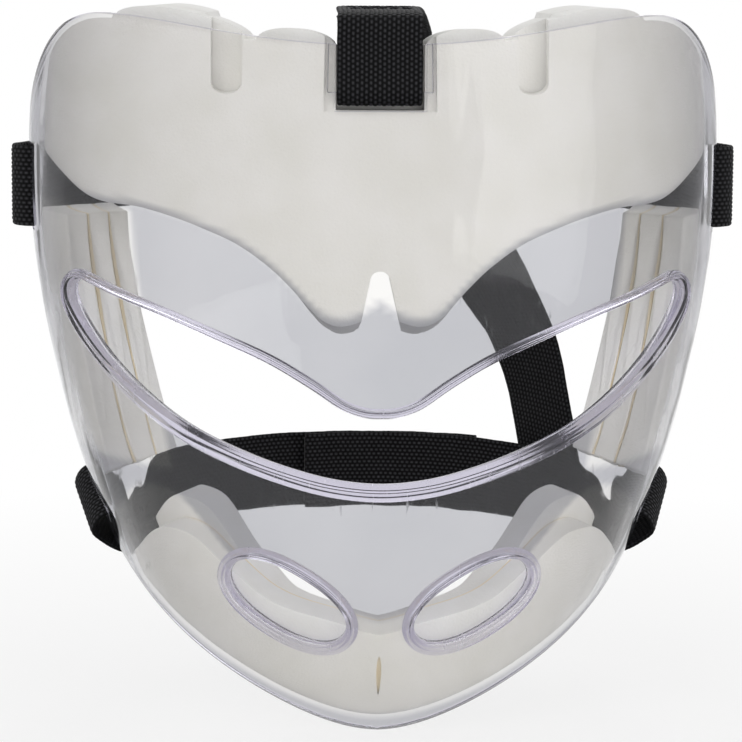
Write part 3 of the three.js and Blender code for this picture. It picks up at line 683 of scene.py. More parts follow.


# How far each point of the shell lies over a pad, from 0 at the pad's edge to 1 inside it. The shell's colour
# is lifted to near white there: painted light for the foam seen through it
def mark_foam_behind(body):
    x, _, z = points_of(body.data).T
    share = np.clip(np.abs(x) / half_width_at(z), 0, 1) ** (SECTION_POWER / 2)
    angle = np.arcsin(share)

    def within(depth):
        return smoothstep(depth / PAD_FADE)

    def within_side(last):
        return smoothstep((last - angle) / PAD_SIDE_FADE)

    brow = within(z - forehead_bottom(angle)) * within_side(FOREHEAD_SIDE)
    # The chin mark reaches past the pad's top, so the painted light also covers the shade on the pads' tops
    # seen through the shell
    chin = within(chin_top(angle, CHIN_CONTACT_RISE) + CHIN_SHOWS - z)
    chin = chin * within(z - bottom_edge(angle) - CHIN_INSET) * within_side(CHIN_SIDE)
    inner_edge, lean, over, under = TEMPLE_SHOWS
    temple = within(TEMPLE_TOP + over - z) * within(z - TEMPLE_BOTTOM + TEMPLE_SLOPE - under)
    temple = temple * within(np.abs(x) - (inner_edge + lean * z) * half_width_at(z) / HALF_WIDTH)
    temple = temple * within_side(TEMPLE_REAR)
    backed = np.maximum(np.maximum(brow, chin), temple).astype(np.float32)
    body.data.attributes.new("foam_behind", "FLOAT", "POINT").data.foreach_set("value", backed)


# Foam pads

def forehead_top(angle):
    edge = top_edge(angle)
    x = np.abs(skin(angle, edge)[..., 0])
    rise = np.zeros_like(x)
    for middle, half in (OUTER_LOBE, INNER_LOBE):
        rise = np.maximum(rise, np.sqrt(np.maximum(1 - ((x - middle) / half) ** 2, 0)))
    return edge - LOBE_SINK + LOBE_RISE * rise


def forehead_bottom(angle):
    x = np.abs(skin(angle, TEMPLE_TOP)[..., 0]) / HALF_WIDTH
    return BROW_LOBE_Z + BROW_EDGE_RISE * along(BROW_EDGE_SHARES, x)


def forehead_layer(name, near, far, base):
    lift = 0 if base else CONTACT_EDGE_RISE
    angles = np.linspace(-FOREHEAD_SIDE, FOREHEAD_SIDE, 261)
    body = layer(name, angles, 44, lambda a: forehead_bottom(a) + lift, forehead_top, near, far)
    width, top, tip = NOSE_NOTCH
    turn = np.linspace(0, pi, 13)
    arch = [(tip / 2 * cos(t), top - tip / 2 + tip / 2 * sin(t)) for t in turn]
    mouth = [(-width / 2, 0), (width / 2, 0)]
    cut(body, front_cutter(arch + mouth))
    if base:
        middle, wide, deep = RELIEF
        floor = CROWN - deep + LOBE_RISE
        for side in (-1, 1):
            x0, x1 = side * middle - wide / 2, side * middle + wide / 2
            arch = [
                (side * middle + wide / 2 * cos(t), floor + wide / 3 - wide / 3 * sin(t))
                for t in turn]
            cut(body, front_cutter(arch + [(x0, SHOULDER_Z + CUT_OVERRUN), (x1, SHOULDER_Z + CUT_OVERRUN)]))
        cut(body, front_box(WEB / 2 + CHANNEL_PLAY, CROWN_FLOOR, SHOULDER_Z + CUT_OVERRUN))
        reach = angle_at(WEB / 2 + SLOT_PLAY * 2, CROWN)
        pocket_top, pocket_floor = SHOULDER_Z + POCKET_RISE, CROWN_INSET + WALL + SEAT
        cut(body, middle_layer("cutter", reach, CROWN_FLOOR, pocket_top, near - POCKET_BACK, pocket_floor))
    return body


def chin_top(angle, rise=0.0, dip=0.0):
    share = np.abs(angle) / CHIN_SIDE
    first, last = CHIN_RISE_SPAN
    wing = smoothstep((share - first) / (last - first))
    return CHIN_TOP + CHIN_TOP_RISE * along(CHIN_TOP_SHARES, share) + (rise + dip) * wing - dip


def chin_bottom(angle):
    return bottom_edge(angle) + CHIN_INSET


def chin_layer(name, near, far, rise=0.0, dip=0.0):
    angles = np.linspace(-CHIN_SIDE, CHIN_SIDE, 201)
    return layer(name, angles, 28, chin_bottom, lambda a: chin_top(a, rise, dip), near, far)


def temple_bottom(angle):
    return TEMPLE_BOTTOM - TEMPLE_SLOPE * (np.abs(angle) - TEMPLE_FRONT) / (TEMPLE_REAR - TEMPLE_FRONT)


def temple_layer(name, side, near, far):
    angles = side * np.linspace(TEMPLE_FRONT, TEMPLE_REAR, 25)
    return layer(name, angles, 60, temple_bottom, level(TEMPLE_TOP), near, far)


# Harness paths: points of the middle line, the way of the width and the way the face looks

# Makes a path of points, with the way of the width squared to the run
def framed(points, across):
    run = unit(np.gradient(points, axis=0))
    side = unit(across - run * np.sum(across * run, -1, keepdims=True))
    return points, side, np.cross(side, run)


def joined(*paths):
    return tuple(np.concatenate(parts) for parts in zip(*paths))


def part_of(path, pick):
    return tuple(values[pick] for values in path)


def path_through(knots):
    points, places = curve_through([k for k, _ in knots])
    across = np.array([a for _, a in knots], float)
    i = np.minimum(places.astype(int), len(knots) - 2)
    part = (places - i)[:, None]
    turned = unit(across[i] * (1 - part) + across[i + 1] * part)
    return framed(*resample(points, WEAVE_STEP, turned))


# A strap from its sewn tail round its bar and on through the knots, whole, and without its tail and turn
def looped_strap(middle, run, leave, knots):
    away = unit(leave - run * np.dot(leave, run))
    aside = unit(np.cross(run, away))
    radius = hypot(BAR, WALL) / 2 + LOOP_PLAY + WEB_THICK / 2
    half = (WEB_THICK + LAYER_GAP) / 2
    at = lambda u, v: (middle + away * u + aside * v, run)
    lead = [at(NECK, -half)]
    slant = copysign(1, np.dot(leave, run))
    for angle in np.arange(NECK_BEND_STEP, acos(min(np.dot(away, unit(leave)), 1)), NECK_BEND_STEP):
        here = at(NECK + NECK_BEND * sin(angle), -half)[0]
        here = here + run * slant * NECK_BEND * (1 - cos(angle))
        lead.append((here, run * cos(angle) - away * slant * sin(angle)))
    main = path_through(lead + knots)
    points, side, face = part_of(main, slice(int(round(SEWN / WEAVE_STEP)), None, -1))
    tail = (points + face * 2 * half, side, -face)
    turn = [at(NECK, half), at((NECK + radius) / 2, (radius + half) / 2)]
    for degrees in range(60, 301, 60):
        a = radians(degrees)
        turn.append(at(radius * cos(a), radius * sin(a)))
    turn += [at((NECK + radius) / 2, -(radius + half) / 2), at(NECK, -half)]
    loop = path_through(turn)
    return joined(part_of(tail, slice(None, -1)), part_of(loop, slice(None, -1)), main), main


def band_point(middle, band, neck_z, x):
    rear, height, lift = band
    share = min(abs(x / middle[0]), 1)
    deep = rear - middle[1]
    back = deep * sqrt(1 - share**2)
    out = unit([x / middle[0] ** 2, back / deep**2]) * lift * (1 - share**4)
    z = height + (neck_z - height) * share**NECK_POWER
    return np.array([x + out[0], middle[1] + back + out[1], z])


def band_half(middle, run, leave, band, end_x):
    away = unit(leave - run * np.dot(leave, run))
    neck_z = middle[2] + away[2] * NECK
    down = np.array([0.0, 0.0, -1.0])
    knots = [(band_point(middle, band, neck_z, middle[0] * share), down) for share in BAND_KNOTS]
    knots = [k for k in knots if k[0][0] < end_x - LAST_KNOT_GAP and k[0][1] > middle[1] + NECK_REACH]
    knots.append((band_point(middle, band, neck_z, end_x), down))
    return looped_strap(middle, run, leave, knots)


def mirrored(paths):
    flip = np.array([-1.0, 1.0, 1.0])
    return tuple((points * flip, side * flip, -face * flip) for points, side, face in paths)


PATHS = {}
for band_name, place, band, (outer_end, inner_end) in (
    ("upper_band", (TEMPLE_MIDDLE, TEMPLE_RUN, TEMPLE_LEAVE), (UPPER_REAR, TEMPLE_SLOT_Z),
     (UPPER_OUTER_END, UPPER_INNER_END)),
    ("lower_band", (JAW_MIDDLE, JAW_RUN, JAW_LEAVE), (LOWER_REAR, LOWER_REAR_Z),
     (LOWER_OUTER_END, LOWER_INNER_END)),
):
    PATHS[f"{band_name}_left"] = band_half(*place, (*band, LAYER_RISE), outer_end)
    PATHS[f"{band_name}_right"] = mirrored(band_half(*place, (*band, 0), -inner_end))


def crown_loop_path():
    bar_y = lambda z: float(front_at(z)) + CROWN_INSET + WALL / 2
    off = (WALL + WEB_THICK) / 2 + FOAM_GAP
    low = CROWN - CROWN_BAR
    gap = WEB_THICK + FOAM_GAP
    half_way = (HINGE_Y - SEWN + bar_y(CROWN)) / 2
    beside = lambda side, z: (bar_y(z) + side * off, z)
    plan = [
        (HINGE_Y - SEAT, CREST - gap), (HINGE_Y - SEWN / 3, CREST - gap), (half_way + off, CREST - 2 * gap),
        beside(1, CROWN), beside(1, (CROWN + low) / 2), beside(1, low),
        (bar_y(low), low - WEB_THICK - 3 * FOAM_GAP),
        beside(-1, low), beside(-1, (CROWN + low) / 2), beside(-1, CROWN),
        (half_way, CREST - WEB_THICK), (HINGE_Y - SEWN / 3, CREST), (HINGE_Y - SEAT, CREST),
    ]
    return path_through([(np.array([0, y, z]), np.array([1.0, 0, 0])) for y, z in plan])


def on_lower_band(x, z):
    points = PATHS["lower_band_right"][1][0]
    i = int(np.argmax(points[:, 0] < x))
    run = unit((points[i] - points[i - 1]) * [1, 1, 0])
    face = np.array([-run[1], run[0], 0])
    face = face if face[1] > 0 else -face
    place = np.array([x, points[i][1], z])
    return place + face * (LAYER_RISE + SEAT), face


def crown_path():
    knots = [(np.array([0, HINGE_Y, CREST]), np.array([1.0, 0, 0]))]
    for x, y, z, *across in CROWN_ROUTE:
        knots.append((np.array([x * HALF_WIDTH, y * UPPER_REAR, z * CREST]), unit(across)))
    for x, z in CROWN_END:
        point, face = on_lower_band(x * HALF_WIDTH, z * LOWER_REAR_Z)
        slope = unit([face[1], -face[0], -CROWN_PITCH])
        knots.append((point, unit(np.cross(slope, face))))
    return path_through(knots)


# Webbing

# Height of the weave over the width and length: columns of raised pips, each a step behind the last
def weave(u, v, pitch, pip):
    column = np.floor(u / pitch)
    across = u / pitch - column
    along_pip = (v / pip + column * STAGGER) % 1
    return np.sin(pi * across) ** PIP_CROWN[0] * np.sin(pi * along_pip) ** PIP_CROWN[1]


def webbing(name, path, seed, width=WEB, thick=WEB_THICK, offset=0, pitch=WEAVE_PITCH, pip=PIP,
            relief=WEAVE_RELIEF, columns=77):
    rng = np.random.default_rng(seed)
    points, side, face = path
    v = length_along(points)
    u = np.linspace(0, width, columns)
    share = np.abs(u / width * 2 - 1)
    hold = (1 - share**14) ** 0.5 * 0.8 + 0.2
    wander = np.cumsum(rng.normal(0, WANDER, len(v)))
    wander -= np.linspace(wander[0], wander[-1], len(v))
    height = (thick / 2 - relief) * hold + relief * weave(u, v[:, None], pitch, pip) * hold
    lateral = u - width / 2 + np.clip(wander, -WANDER_LIMIT, WANDER_LIMIT)[:, None]
    middle = points[:, None] + side[:, None] * lateral[..., None]
    front, back = (middle + face[:, None] * (offset + sign * height)[..., None] for sign in (1, -1))
    rings = np.concatenate([front, back[:, ::-1]], 1)
    coords = np.stack(np.broadcast_arrays(u * MM, v[:, None] * MM), -1)
    uv = np.concatenate([coords, coords[:, ::-1]], 1)
    obj = new_object(name, rings.reshape(-1, 3), ring_faces(len(points), rings.shape[1]), uv.reshape(-1, 2))
    shade_smooth(obj, 60)
    return obj


# Rings of one stitch: place along it and thickness as shares, and rise in millimetres
STITCH_RINGS = [(0, 0.25, -0.12), (0.12, 0.8, 0.05), (0.5, 1, 0.14), (0.88, 0.8, 0.05), (1, 0.25, -0.12)]


# Rows of thread stitches on the face of a strap, each given by its ends in (across, along) millimetres
def stitches(name, path, lines, lift, length=2.6, gap=0.9, thread=0.45):
    points, side, face = path
    far = length_along(points)
    out = copysign(1, lift)

    def place(u, v, rise):
        pick = [np.interp(v, far, part[:, c]) for part in (points, side, face) for c in range(3)]
        p, s, f = np.array(pick[:3]), np.array(pick[3:6]), np.array(pick[6:])
        return p + s * u + f * (lift + out * rise)

    vertices, faces = [], []
    for (u0, v0), (u1, v1) in lines:
        total = hypot(u1 - u0, v1 - v0)
        count = max(int(total / (length + gap)), 1)
        for i in range(count):
            a, b = i / count, (i + length / (length + gap)) / count
            rings = []
            for t, size, rise in STITCH_RINGS:
                w = a + (b - a) * t
                u, v = u0 + (u1 - u0) * w, v0 + (v1 - v0) * w
                here = place(u, v, rise)
                ahead = place(u0 + (u1 - u0) * (w + 0.01), v0 + (v1 - v0) * (w + 0.01), rise)
                way = unit(ahead - here)
                aside = unit(np.cross(way, place(u, v, rise + 1) - here))
                up = np.cross(aside, way)
                for k in range(6):
                    turn = pi / 3 * k
                    rings.append(here + (aside * cos(turn) + up * sin(turn)) * thread / 2 * size)
            faces += ring_faces(len(STITCH_RINGS), 6, first=len(vertices))
            vertices += rings
    obj = new_object(name, vertices, faces)
    shade_smooth(obj, 60)
    return obj


# Materials

# Gives a node's inputs their values, or joins them to other nodes' outputs
def feed(tree, made, inputs):
    for key, value in inputs.items():
        if isinstance(value, bpy.types.NodeSocket):
            tree.links.new(value, made.inputs[key])
        else:
            made.inputs[key].default_value = value
    return made


def node(tree, kind, inputs=None, **settings):
    made = tree.nodes.new(kind)
    for key, value in settings.items():
        setattr(made, key, value)
    return feed(tree, made, inputs or {})


def maths(tree, operation, *values):
    return node(tree, "ShaderNodeMath", dict(enumerate(values)), operation=operation).outputs["Value"]


def blend(tree, share, first, second, kind="RGBA"):
    values = {"Factor": share, "A": first, "B": second}
    return node(tree, "ShaderNodeMix", values, data_type=kind).outputs["Result"]


def remap(tree, value, low, high, to_low=0.0, to_high=1.0):
    spans = {"Value": value, "From Min": low, "From Max": high, "To Min": to_low, "To Max": to_high}
    return node(tree, "ShaderNodeMapRange", spans).outputs["Result"]


def coordinates(tree, kind="Object"):
    return node(tree, "ShaderNodeTexCoord").outputs[kind]


def stretched(tree, where, scale, turn=(0, 0, 0)):
    values = {"Vector": where, "Scale": scale, "Rotation": turn}
    return node(tree, "ShaderNodeMapping", values).outputs["Vector"]


def noise(tree, where, scale, detail=2.0):
    values = {"Vector": where, "Scale": scale, "Detail": detail}
    return node(tree, "ShaderNodeTexNoise", values).outputs["Fac"]


def bump(tree, height, strength, distance):
    values = {"Height": height, "Strength": strength, "Distance": distance}
    return node(tree, "ShaderNodeBump", values).outputs["Normal"]


# The mark that the mesh carries under this name
def mark(tree, name):
    return node(tree, "ShaderNodeAttribute", attribute_name=name).outputs["Fac"]


# A node group from its inputs with their usual values and the names of its outputs
def new_group(name, given, outputs):
    tree = bpy.data.node_groups.new(name, "ShaderNodeTree")
    for key, value in given.items():
        kind = "NodeSocketFloat" if isinstance(value, float) else "NodeSocketColor"
        tree.interface.new_socket(name=key, in_out="INPUT", socket_type=kind).default_value = value
    for key in outputs:
        kind = "NodeSocketColor" if key == "Color" else "NodeSocketFloat"
        tree.interface.new_socket(name=key, in_out="OUTPUT", socket_type=kind)
    return tree, tree.nodes.new("NodeGroupInput").outputs, tree.nodes.new("NodeGroupOutput")


# Soft clouds of a second tone, from the object's own coordinates
def tone_clouds():
    tree, given, out = new_group(
        "tone_clouds", {"First": (0.8, 0.8, 0.8, 1), "Second": (0.7, 0.7, 0.7, 1), "Scale": 40.0}, ["Color"])
    share = remap(tree, noise(tree, coordinates(tree), given["Scale"], 4), 0.35, 0.65)
    feed(tree, out, {"Color": blend(tree, share, given["First"], given["Second"])})
    return tree


# Small closed cells or pits, as a height
def fine_cells():
    tree, given, out = new_group("fine_cells", {"Scale": 1500.0, "Softness": 0.5}, ["Height"])
    where = coordinates(tree)
    values = {"Vector": where, "Scale": given["Scale"]}
    cells = node(tree, "ShaderNodeTexVoronoi", values, feature="SMOOTH_F1").outputs["Distance"]
    grain = noise(tree, where, given["Scale"])
    feed(tree, out, {"Height": blend(tree, given["Softness"], cells, grain, "FLOAT")})
    return tree


# Fine scratches and smears left by handling
def handling_marks():
    tree, given, out = new_group("handling_marks", {"Amount": 0.3}, ["Mask"])
    where = coordinates(tree)
    fine = stretched(tree, where, (900, 60, 140), (0.3, 0.9, 0.5))
    scratches = remap(tree, noise(tree, fine, 1.0), 0.62, 0.72)
    marks = maths(tree, "MULTIPLY", scratches, noise(tree, where, 28.0))
    feed(tree, out, {"Mask": maths(tree, "MULTIPLY", marks, given["Amount"])})
    return tree


# Columns of raised pips in woven tape, from its own coordinates along and across, with a painted highlight on
# the pips' crowns
def woven_pips():
    sizes = {"Column Pitch": WEAVE_PITCH * MM, "Pip Length": PIP * MM, "Stagger": STAGGER}
    tree, given, out = new_group("woven_pips", sizes, ["Height", "Pip Highlight"])
    where = coordinates(tree, "UV")
    parts = node(tree, "ShaderNodeSeparateXYZ", {"Vector": where}).outputs

    def do(*terms):
        return maths(tree, *terms)

    column = do("DIVIDE", parts["X"], given["Column Pitch"])
    whole = do("FLOOR", column)
    across = do("SINE", do("MULTIPLY", do("SUBTRACT", column, whole), pi))
    row = do("ADD", do("DIVIDE", parts["Y"], given["Pip Length"]), do("MULTIPLY", whole, given["Stagger"]))
    length = do("SINE", do("MULTIPLY", do("FRACT", row), pi))
    height = do("MULTIPLY", do("POWER", across, PIP_CROWN[0]), do("POWER", length, PIP_CROWN[1]))
    fibres = noise(tree, stretched(tree, where, (9000, 900, 1)), 1.0)
    feed(tree, out, {
        "Height": do("ADD", height, do("MULTIPLY", fibres, 0.25)),
        # Painted highlight: lighter on the crowns of the pips, broken by the fibres
        "Pip Highlight": do("MULTIPLY", do("POWER", height, 3.0), fibres),
    })
    return tree


GROUPS = {build.__name__: build() for build in (woven_pips, tone_clouds, fine_cells, handling_marks)}


def use_group(tree, name, **values):
    return node(tree, "ShaderNodeGroup", values, node_tree=GROUPS[name]).outputs


# A shader's colour from red, green and blue out of 255
def linear(tone):
    return (*(c / 255 / 12.92 if c <= 10 else ((c / 255 + 0.055) / 1.055) ** 2.4 for c in tone), 1.0)


def clouds_of(tree, tones, scale):
    first, second = (linear(tone) for tone in tones)
    return use_group(tree, "tone_clouds", First=first, Second=second, Scale=scale)["Color"]


def new_material(name):
    made = bpy.data.materials.new(name)
    made.use_nodes = True
    return made, made.node_tree, made.node_tree.nodes["Principled BSDF"]


# Painted light: near white over the foam pads, greyer in the open; painted shade: darker where it turns away
# from the eye, most at the brow; soft and cool on rims and edges
def clear_plastic():
    made, tree, shader = new_material("clear_plastic")
    where = coordinates(tree)
    open_tone = clouds_of(tree, OPEN_TONES, 11.0)
    # Painted light: the tint is lifted to near white where foam lies behind
    painted_light_over_foam = blend(tree, mark(tree, "foam_behind"), open_tone, linear(PAINTED_LIGHT_OVER_FOAM_TONE))
    facing = node(tree, "ShaderNodeLayerWeight", {"Blend": 0.56}).outputs["Facing"]
    height = node(tree, "ShaderNodeSeparateXYZ", {"Vector": where}).outputs["Z"]
    # Painted shade: grey mixed in where the surface turns away, more so higher up
    turned = maths(tree, "MULTIPLY", remap(tree, height, *PAINTED_SIDE_SHADE_SPAN), facing)
    painted_side_shade = blend(tree, turned, painted_light_over_foam, linear(PAINTED_SIDE_SHADE))
    on_rim = mark(tree, "rim_zone")
    gloss = remap(tree, on_rim, 0, 1, SKIN_ROUGHNESS, RIM_ROUGHNESS)
    waves = noise(tree, stretched(tree, where, (55, 55, 24)), 1.0, 1.0)
    feed(tree, shader, {
        "Base Color": blend(tree, on_rim, painted_side_shade, linear(RIM_TONE)),
        "Roughness": maths(tree, "ADD", gloss, use_group(tree, "handling_marks", Amount=0.3)["Mask"]),
        "Normal": bump(tree, waves, 1.0, 0.0007),
        "Transmission Weight": 0.975,
        "IOR": 1.33,
    })
    return made


# Foam, film or pile: clouded tones, with fine cells given as scale, softness, strength and height
def matt_material(name, tones, clouds, roughness, cells=None, sheen=0.0):
    made, tree, shader = new_material(name)
    feed(tree, shader, {
        "Base Color": clouds_of(tree, tones, clouds), "Roughness": roughness, "Sheen Weight": sheen})
    if cells:
        scale, softness, strength, height = cells
        pits = use_group(tree, "fine_cells", Scale=scale, Softness=softness)["Height"]
        feed(tree, shader, {"Normal": bump(tree, pits, strength, height)})
    return made


def woven_material(name, tones, pip_highlight):
    made, tree, shader = new_material(name)
    pips = use_group(tree, "woven_pips")
    feed(tree, shader, {
        # The lighter tone on the pips' crowns is a painted highlight
        "Base Color": blend(tree, pips["Pip Highlight"], clouds_of(tree, tones, 260.0), linear(pip_highlight)),
        "Roughness": 0.6,
        "Specular IOR Level": 0.08,
        "Normal": bump(tree, pips["Height"], 0.6, 0.0003),
    })
    return made


CLEAR = clear_plastic()
FOAM = matt_material("white_foam", FOAM_TONES, 55.0, 0.82, (1400.0, 0.45, 0.35, 0.0004))
FILM = matt_material("adhesive_film", FILM_TONES, 70.0, 0.5)
# The last tone of each woven material is its painted highlight on the pips
WEBBING = woven_material("black_webbing", WEBBING_TONES, (84, 84, 88))
THREAD = woven_material("black_thread", THREAD_TONES, (90, 90, 96))
PILE = matt_material("fastener_pile", PILE_TONES, 420.0, 0.95, (2200.0, 0.2, 0.8, 0.0003), 0.2)


def finish_piece(obj, material, body, replaces=()):
    obj.data.materials.clear()
    obj.data.materials.append(material)
    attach(obj, body)
    if replaces:
        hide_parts(*replaces)


# Camera

AZIMUTH = radians(-2)
ELEVATION = radians(9)
ROLL = radians(0.4)
FOCAL_PIXELS = 3300
DISTANCE = 1.0
FRAME_PIXELS = 742
CENTRE_PIXELS = (376, 371)


def make_camera():
    flat = cos(ELEVATION)
    back = Vector((sin(AZIMUTH) * flat, -cos(AZIMUTH) * flat, sin(ELEVATION)))
    right = (-back).cross(Vector((0, 0, 1))).normalized()
    up = right.cross(-back)
    right, up = right * cos(ROLL) + up * sin(ROLL), up * cos(ROLL) - right * sin(ROLL)
    data = bpy.data.cameras.new("camera")
    data.sensor_width = 36
    data.lens = 36 * FOCAL_PIXELS / FRAME_PIXELS
    data.shift_x = (FRAME_PIXELS / 2 - CENTRE_PIXELS[0]) / FRAME_PIXELS
    data.clip_start, data.clip_end = 0.05, 50
    camera = bpy.data.objects.new("camera", data)
    turn = Matrix((right, up, back)).transposed().to_4x4()
    camera.matrix_world = Matrix.Translation(back * DISTANCE) @ turn
    bpy.context.scene.collection.objects.link(camera)
    bpy.context.scene.camera = camera


make_camera()

# The pieces

shell = clear_shell()
shell.visible_shadow = False
finish_piece(shell, CLEAR, "mask", ["clear_shell"])

foam_near = WALL + FOAM_GAP
contact_near = foam_near + FOREHEAD_BASE + LAYER_GAP
chin_near = foam_near + CHIN_BASE + LAYER_GAP
pads = [
    (forehead_layer("forehead_pad_base", foam_near, foam_near + FOREHEAD_BASE, True), "forehead_base_foam"),
    (forehead_layer("forehead_pad_contact", contact_near, contact_near + FOREHEAD_CONTACT, False),
     "forehead_contact_foam"),
]
chin_pad = chin_layer("chin_pad_base", foam_near, foam_near + CHIN_BASE)
slit_width, slit_top, slit_floor = CHIN_SLIT
slit_outline = [
    (slit_width / 2 * cos(t) * abs(sin(t / 2 + pi / 4)) ** 0.5,
     (slit_top + slit_floor) / 2 + (slit_top - slit_floor) / 2 * sin(t))
    for t in np.linspace(0, 2 * pi, 24, endpoint=False)]
cut(chin_pad, front_cutter(slit_outline))
pads.append((chin_pad, "chin_base_foam"))
film_floor = slit_floor - SLIT_FILM_DROP
slit_reach = angle_at(slit_width / 2, film_floor)
film_near, film_far = (foam_near + depth for depth in SLIT_FILM_DEPTH)
slit_film = middle_layer("chin_slit_film", slit_reach, film_floor, slit_top, film_near, film_far, 5)
chin_far = chin_near + CHIN_CONTACT
chin_pad = chin_layer("chin_pad_contact", chin_near, chin_far, CHIN_CONTACT_RISE, CHIN_CONTACT_DIP)
pads.append((chin_pad, "chin_contact_foam"))
for side_name, side in SIDES:
    near = foam_near
    for layer_name, thick in zip(("base", "middle", "contact"), TEMPLE_LAYERS):
        pad = temple_layer(f"temple_pad_{layer_name}_{side_name}", side, near, near + thick)
        pads.append((pad, f"temple_{layer_name}_foam_{side_name}"))
        near += thick + LAYER_GAP
for pad, node_name in pads:
    soften_edges(pad, PAD_EDGE, 3, 35)
    shade_smooth(pad, 50)
    finish_piece(pad, FOAM, "mask", [node_name])

# Adhesive film in the joints between the layers
films = [layer(
    "chin_film", np.linspace(-CHIN_SIDE + CHIN_FILM_END, CHIN_SIDE - CHIN_FILM_END, 121), 16,
    lambda a: chin_bottom(a) + FILM_INSET, lambda a: chin_top(a) - FILM_INSET,
    chin_near - LAYER_GAP + FILM_PLAY, chin_near - FILM_PLAY)]
for side_name, side in SIDES:
    near = foam_near
    angles = side * np.linspace(TEMPLE_FRONT + TEMPLE_FILM_END, TEMPLE_REAR - TEMPLE_FILM_END, 13)
    for i, thick in enumerate(TEMPLE_LAYERS[:-1]):
        near += thick
        films.append(layer(
            f"temple_film_{i}_{side_name}", angles, 24, lambda a: temple_bottom(a) + FILM_INSET,
            level(TEMPLE_TOP - FILM_INSET), near + FILM_PLAY, near + LAYER_GAP - FILM_PLAY))
        near += LAYER_GAP
films.append(slit_film)
for film in films:
    shade_smooth(film, 50)
    finish_piece(film, FILM, "mask")


def strap(name, path, seed, body, node_name):
    finish_piece(webbing(name, path, seed), WEBBING, body, [node_name])


BODY_OF = {name: name.replace("_band", "") for name in PATHS}
for number, (name, body) in enumerate(BODY_OF.items()):
    strap(f"{name}_webbing", PATHS[name][0], number, body, name)
crown_loop = crown_loop_path()
strap("crown_bar_webbing", crown_loop, 5, "mask", "crown_bar_loop")
crown = crown_path()
strap("crown_webbing", crown, 6, "crown", "crown_strap")


# Sewn boxes with a cross, where a strap is turned back on itself
def sewn_box(name, path, start, lift, body, length=BOX_LENGTH):
    a, b, h = start, start + length, WEB / 2 - BOX_INSET
    ends = [(-h, a), (h, a), (h, b), (-h, b), (-h, a), (h, b)]
    lines = list(zip(ends, ends[1:])) + [((h, a), (-h, b))]
    finish_piece(stitches(name, path, lines, lift), THREAD, body)


for name, body in BODY_OF.items():
    whole, main = PATHS[name]
    sewn_box(f"{name}_stitches_outer", whole, OUTER_BOX_START, -WEB_THICK / 2, body)
    sewn_box(f"{name}_stitches_inner", main, INNER_BOX_START, -WEB_THICK / 2, body)
top_first = part_of(crown_loop, slice(None, None, -1))
sewn_box("crown_loop_stitches", top_first, CROWN_BOX_START, WEB_THICK / 2, "mask", CROWN_BOX_LENGTH)


def between(low, high):
    return lambda p: (p[:, 0] >= low) & (p[:, 0] <= high)


upper_span = between(UPPER_INNER_END, UPPER_OUTER_END)
lower_span = between(LOWER_INNER_END, LOWER_OUTER_END)
crown_span = between(CROWN_PATCH[0] - CROWN_PATCH[1], CROWN_PATCH[0] + CROWN_PATCH[1])
crown_tail = lambda p: np.arange(len(p)) >= len(p) - int(CROWN_PATCH[2] / WEAVE_STEP)
for name, strap_name, keep in (
    ("upper_hook_patch", "upper_band_left", upper_span),
    ("upper_loop_patch", "upper_band_right", upper_span),
    ("lower_hook_patch", "lower_band_left", lower_span),
    ("lower_loop_patch", "lower_band_right", lower_span),
    ("crown_hook_patch", "crown", crown_tail),
    ("crown_loop_patch", "lower_band_right", crown_span),
):
    on_crown = strap_name == "crown"
    path = crown if on_crown else PATHS[strap_name][1]
    pile = webbing(
        f"{name}_pile", part_of(path, keep(path[0])), 11, PATCH_WIDTH, PATCH_THICK,
        -PATCH_OFFSET if on_crown else PATCH_OFFSET, PILE_PITCH, PILE_PITCH, PILE_RELIEF, 70)
    finish_piece(pile, PILE, BODY_OF.get(strap_name, "crown"), [name])

# Stage

FLOOR_Z = -0.1055
FLOOR_SPAN = 4.0
LAMP_SIZE = 0.8
WHITE = (1, 1, 1, 1)


# 1 for the rays that see the pale background: the camera's, the reflected and the refracted ones
def seen_rays(tree):
    rays = node(tree, "ShaderNodeLightPath").outputs
    seen = maths(tree, "MAXIMUM", rays["Is Camera Ray"], rays["Is Glossy Ray"])
    return maths(tree, "MAXIMUM", seen, rays["Is Transmission Ray"])


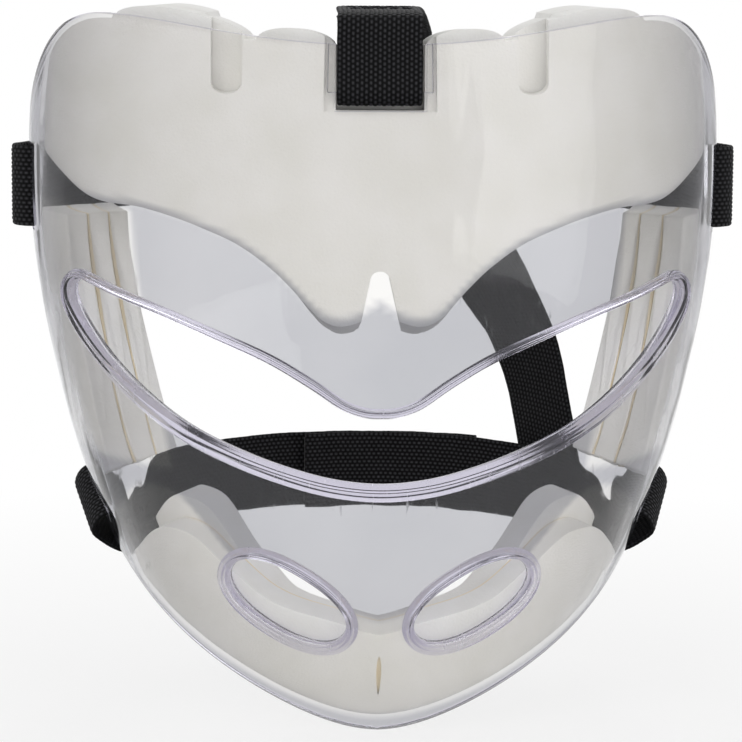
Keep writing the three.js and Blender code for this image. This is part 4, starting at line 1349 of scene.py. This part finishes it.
# White to the eye away from the object, and lit as a plain floor near it, so that the shadow stays
def stage_material():
    made, tree, shader = new_material("pale_floor")
    feed(tree, shader, {"Base Color": (0.9, 0.9, 0.9, 1), "Roughness": 0.9, "Specular IOR Level": 0.1})
    light = node(tree, "ShaderNodeEmission", {"Color": WHITE, "Strength": 1.0})
    near = stretched(tree, coordinates(tree), (2.6, 2.6, 2.6))
    spread = node(tree, "ShaderNodeTexGradient", {"Vector": near}, gradient_type="SPHERICAL").outputs["Fac"]
    share = maths(tree, "MULTIPLY", seen_rays(tree), remap(tree, spread, 0, 0.6, 1.0, 0.75))
    mix = node(tree, "ShaderNodeMixShader", {
        "Fac": share, 1: shader.outputs["BSDF"], 2: light.outputs["Emission"]})
    feed(tree, tree.nodes["Material Output"], {"Surface": mix.outputs["Shader"]})
    return made


floor_mesh = bpy.data.meshes.new("floor")
corners = [(x * FLOOR_SPAN, y * FLOOR_SPAN, FLOOR_Z) for x, y in CORNERS]
floor_mesh.from_pydata(corners, [], [(0, 1, 2, 3)])
floor = bpy.data.objects.new("floor", floor_mesh)
floor_mesh.materials.append(stage_material())
bpy.context.scene.collection.objects.link(floor)

world = bpy.data.worlds.new("studio")
bpy.context.scene.world = world
world.use_nodes = True
sky = world.node_tree
ground = feed(sky, sky.nodes["Background"], {"Color": WHITE, "Strength": 0.6})
plain = node(sky, "ShaderNodeBackground", {"Color": WHITE, "Strength": 1.0})
both = node(sky, "ShaderNodeMixShader", {
    "Fac": seen_rays(sky), 1: ground.outputs["Background"], 2: plain.outputs["Background"]})
feed(sky, sky.nodes["World Output"], {"Surface": both.outputs["Shader"]})


def lamp(name, place, power):
    data = bpy.data.lights.new(name, "AREA")
    data.size = LAMP_SIZE
    data.energy = power
    obj = bpy.data.objects.new(name, data)
    obj.location = place
    obj.rotation_mode = "QUATERNION"
    obj.rotation_quaternion = (-Vector(place)).to_track_quat("-Z", "Y")
    bpy.context.scene.collection.objects.link(obj)


lamp("key", (-0.7, -1.1, 0.9), 2.95)
lamp("fill", (0.7, -1.1, 0.05), 3.2)
lamp("rear", (0.2, 1.2, 0.9), 4.0)

bpy.context.scene.view_settings.view_transform = "Standard"
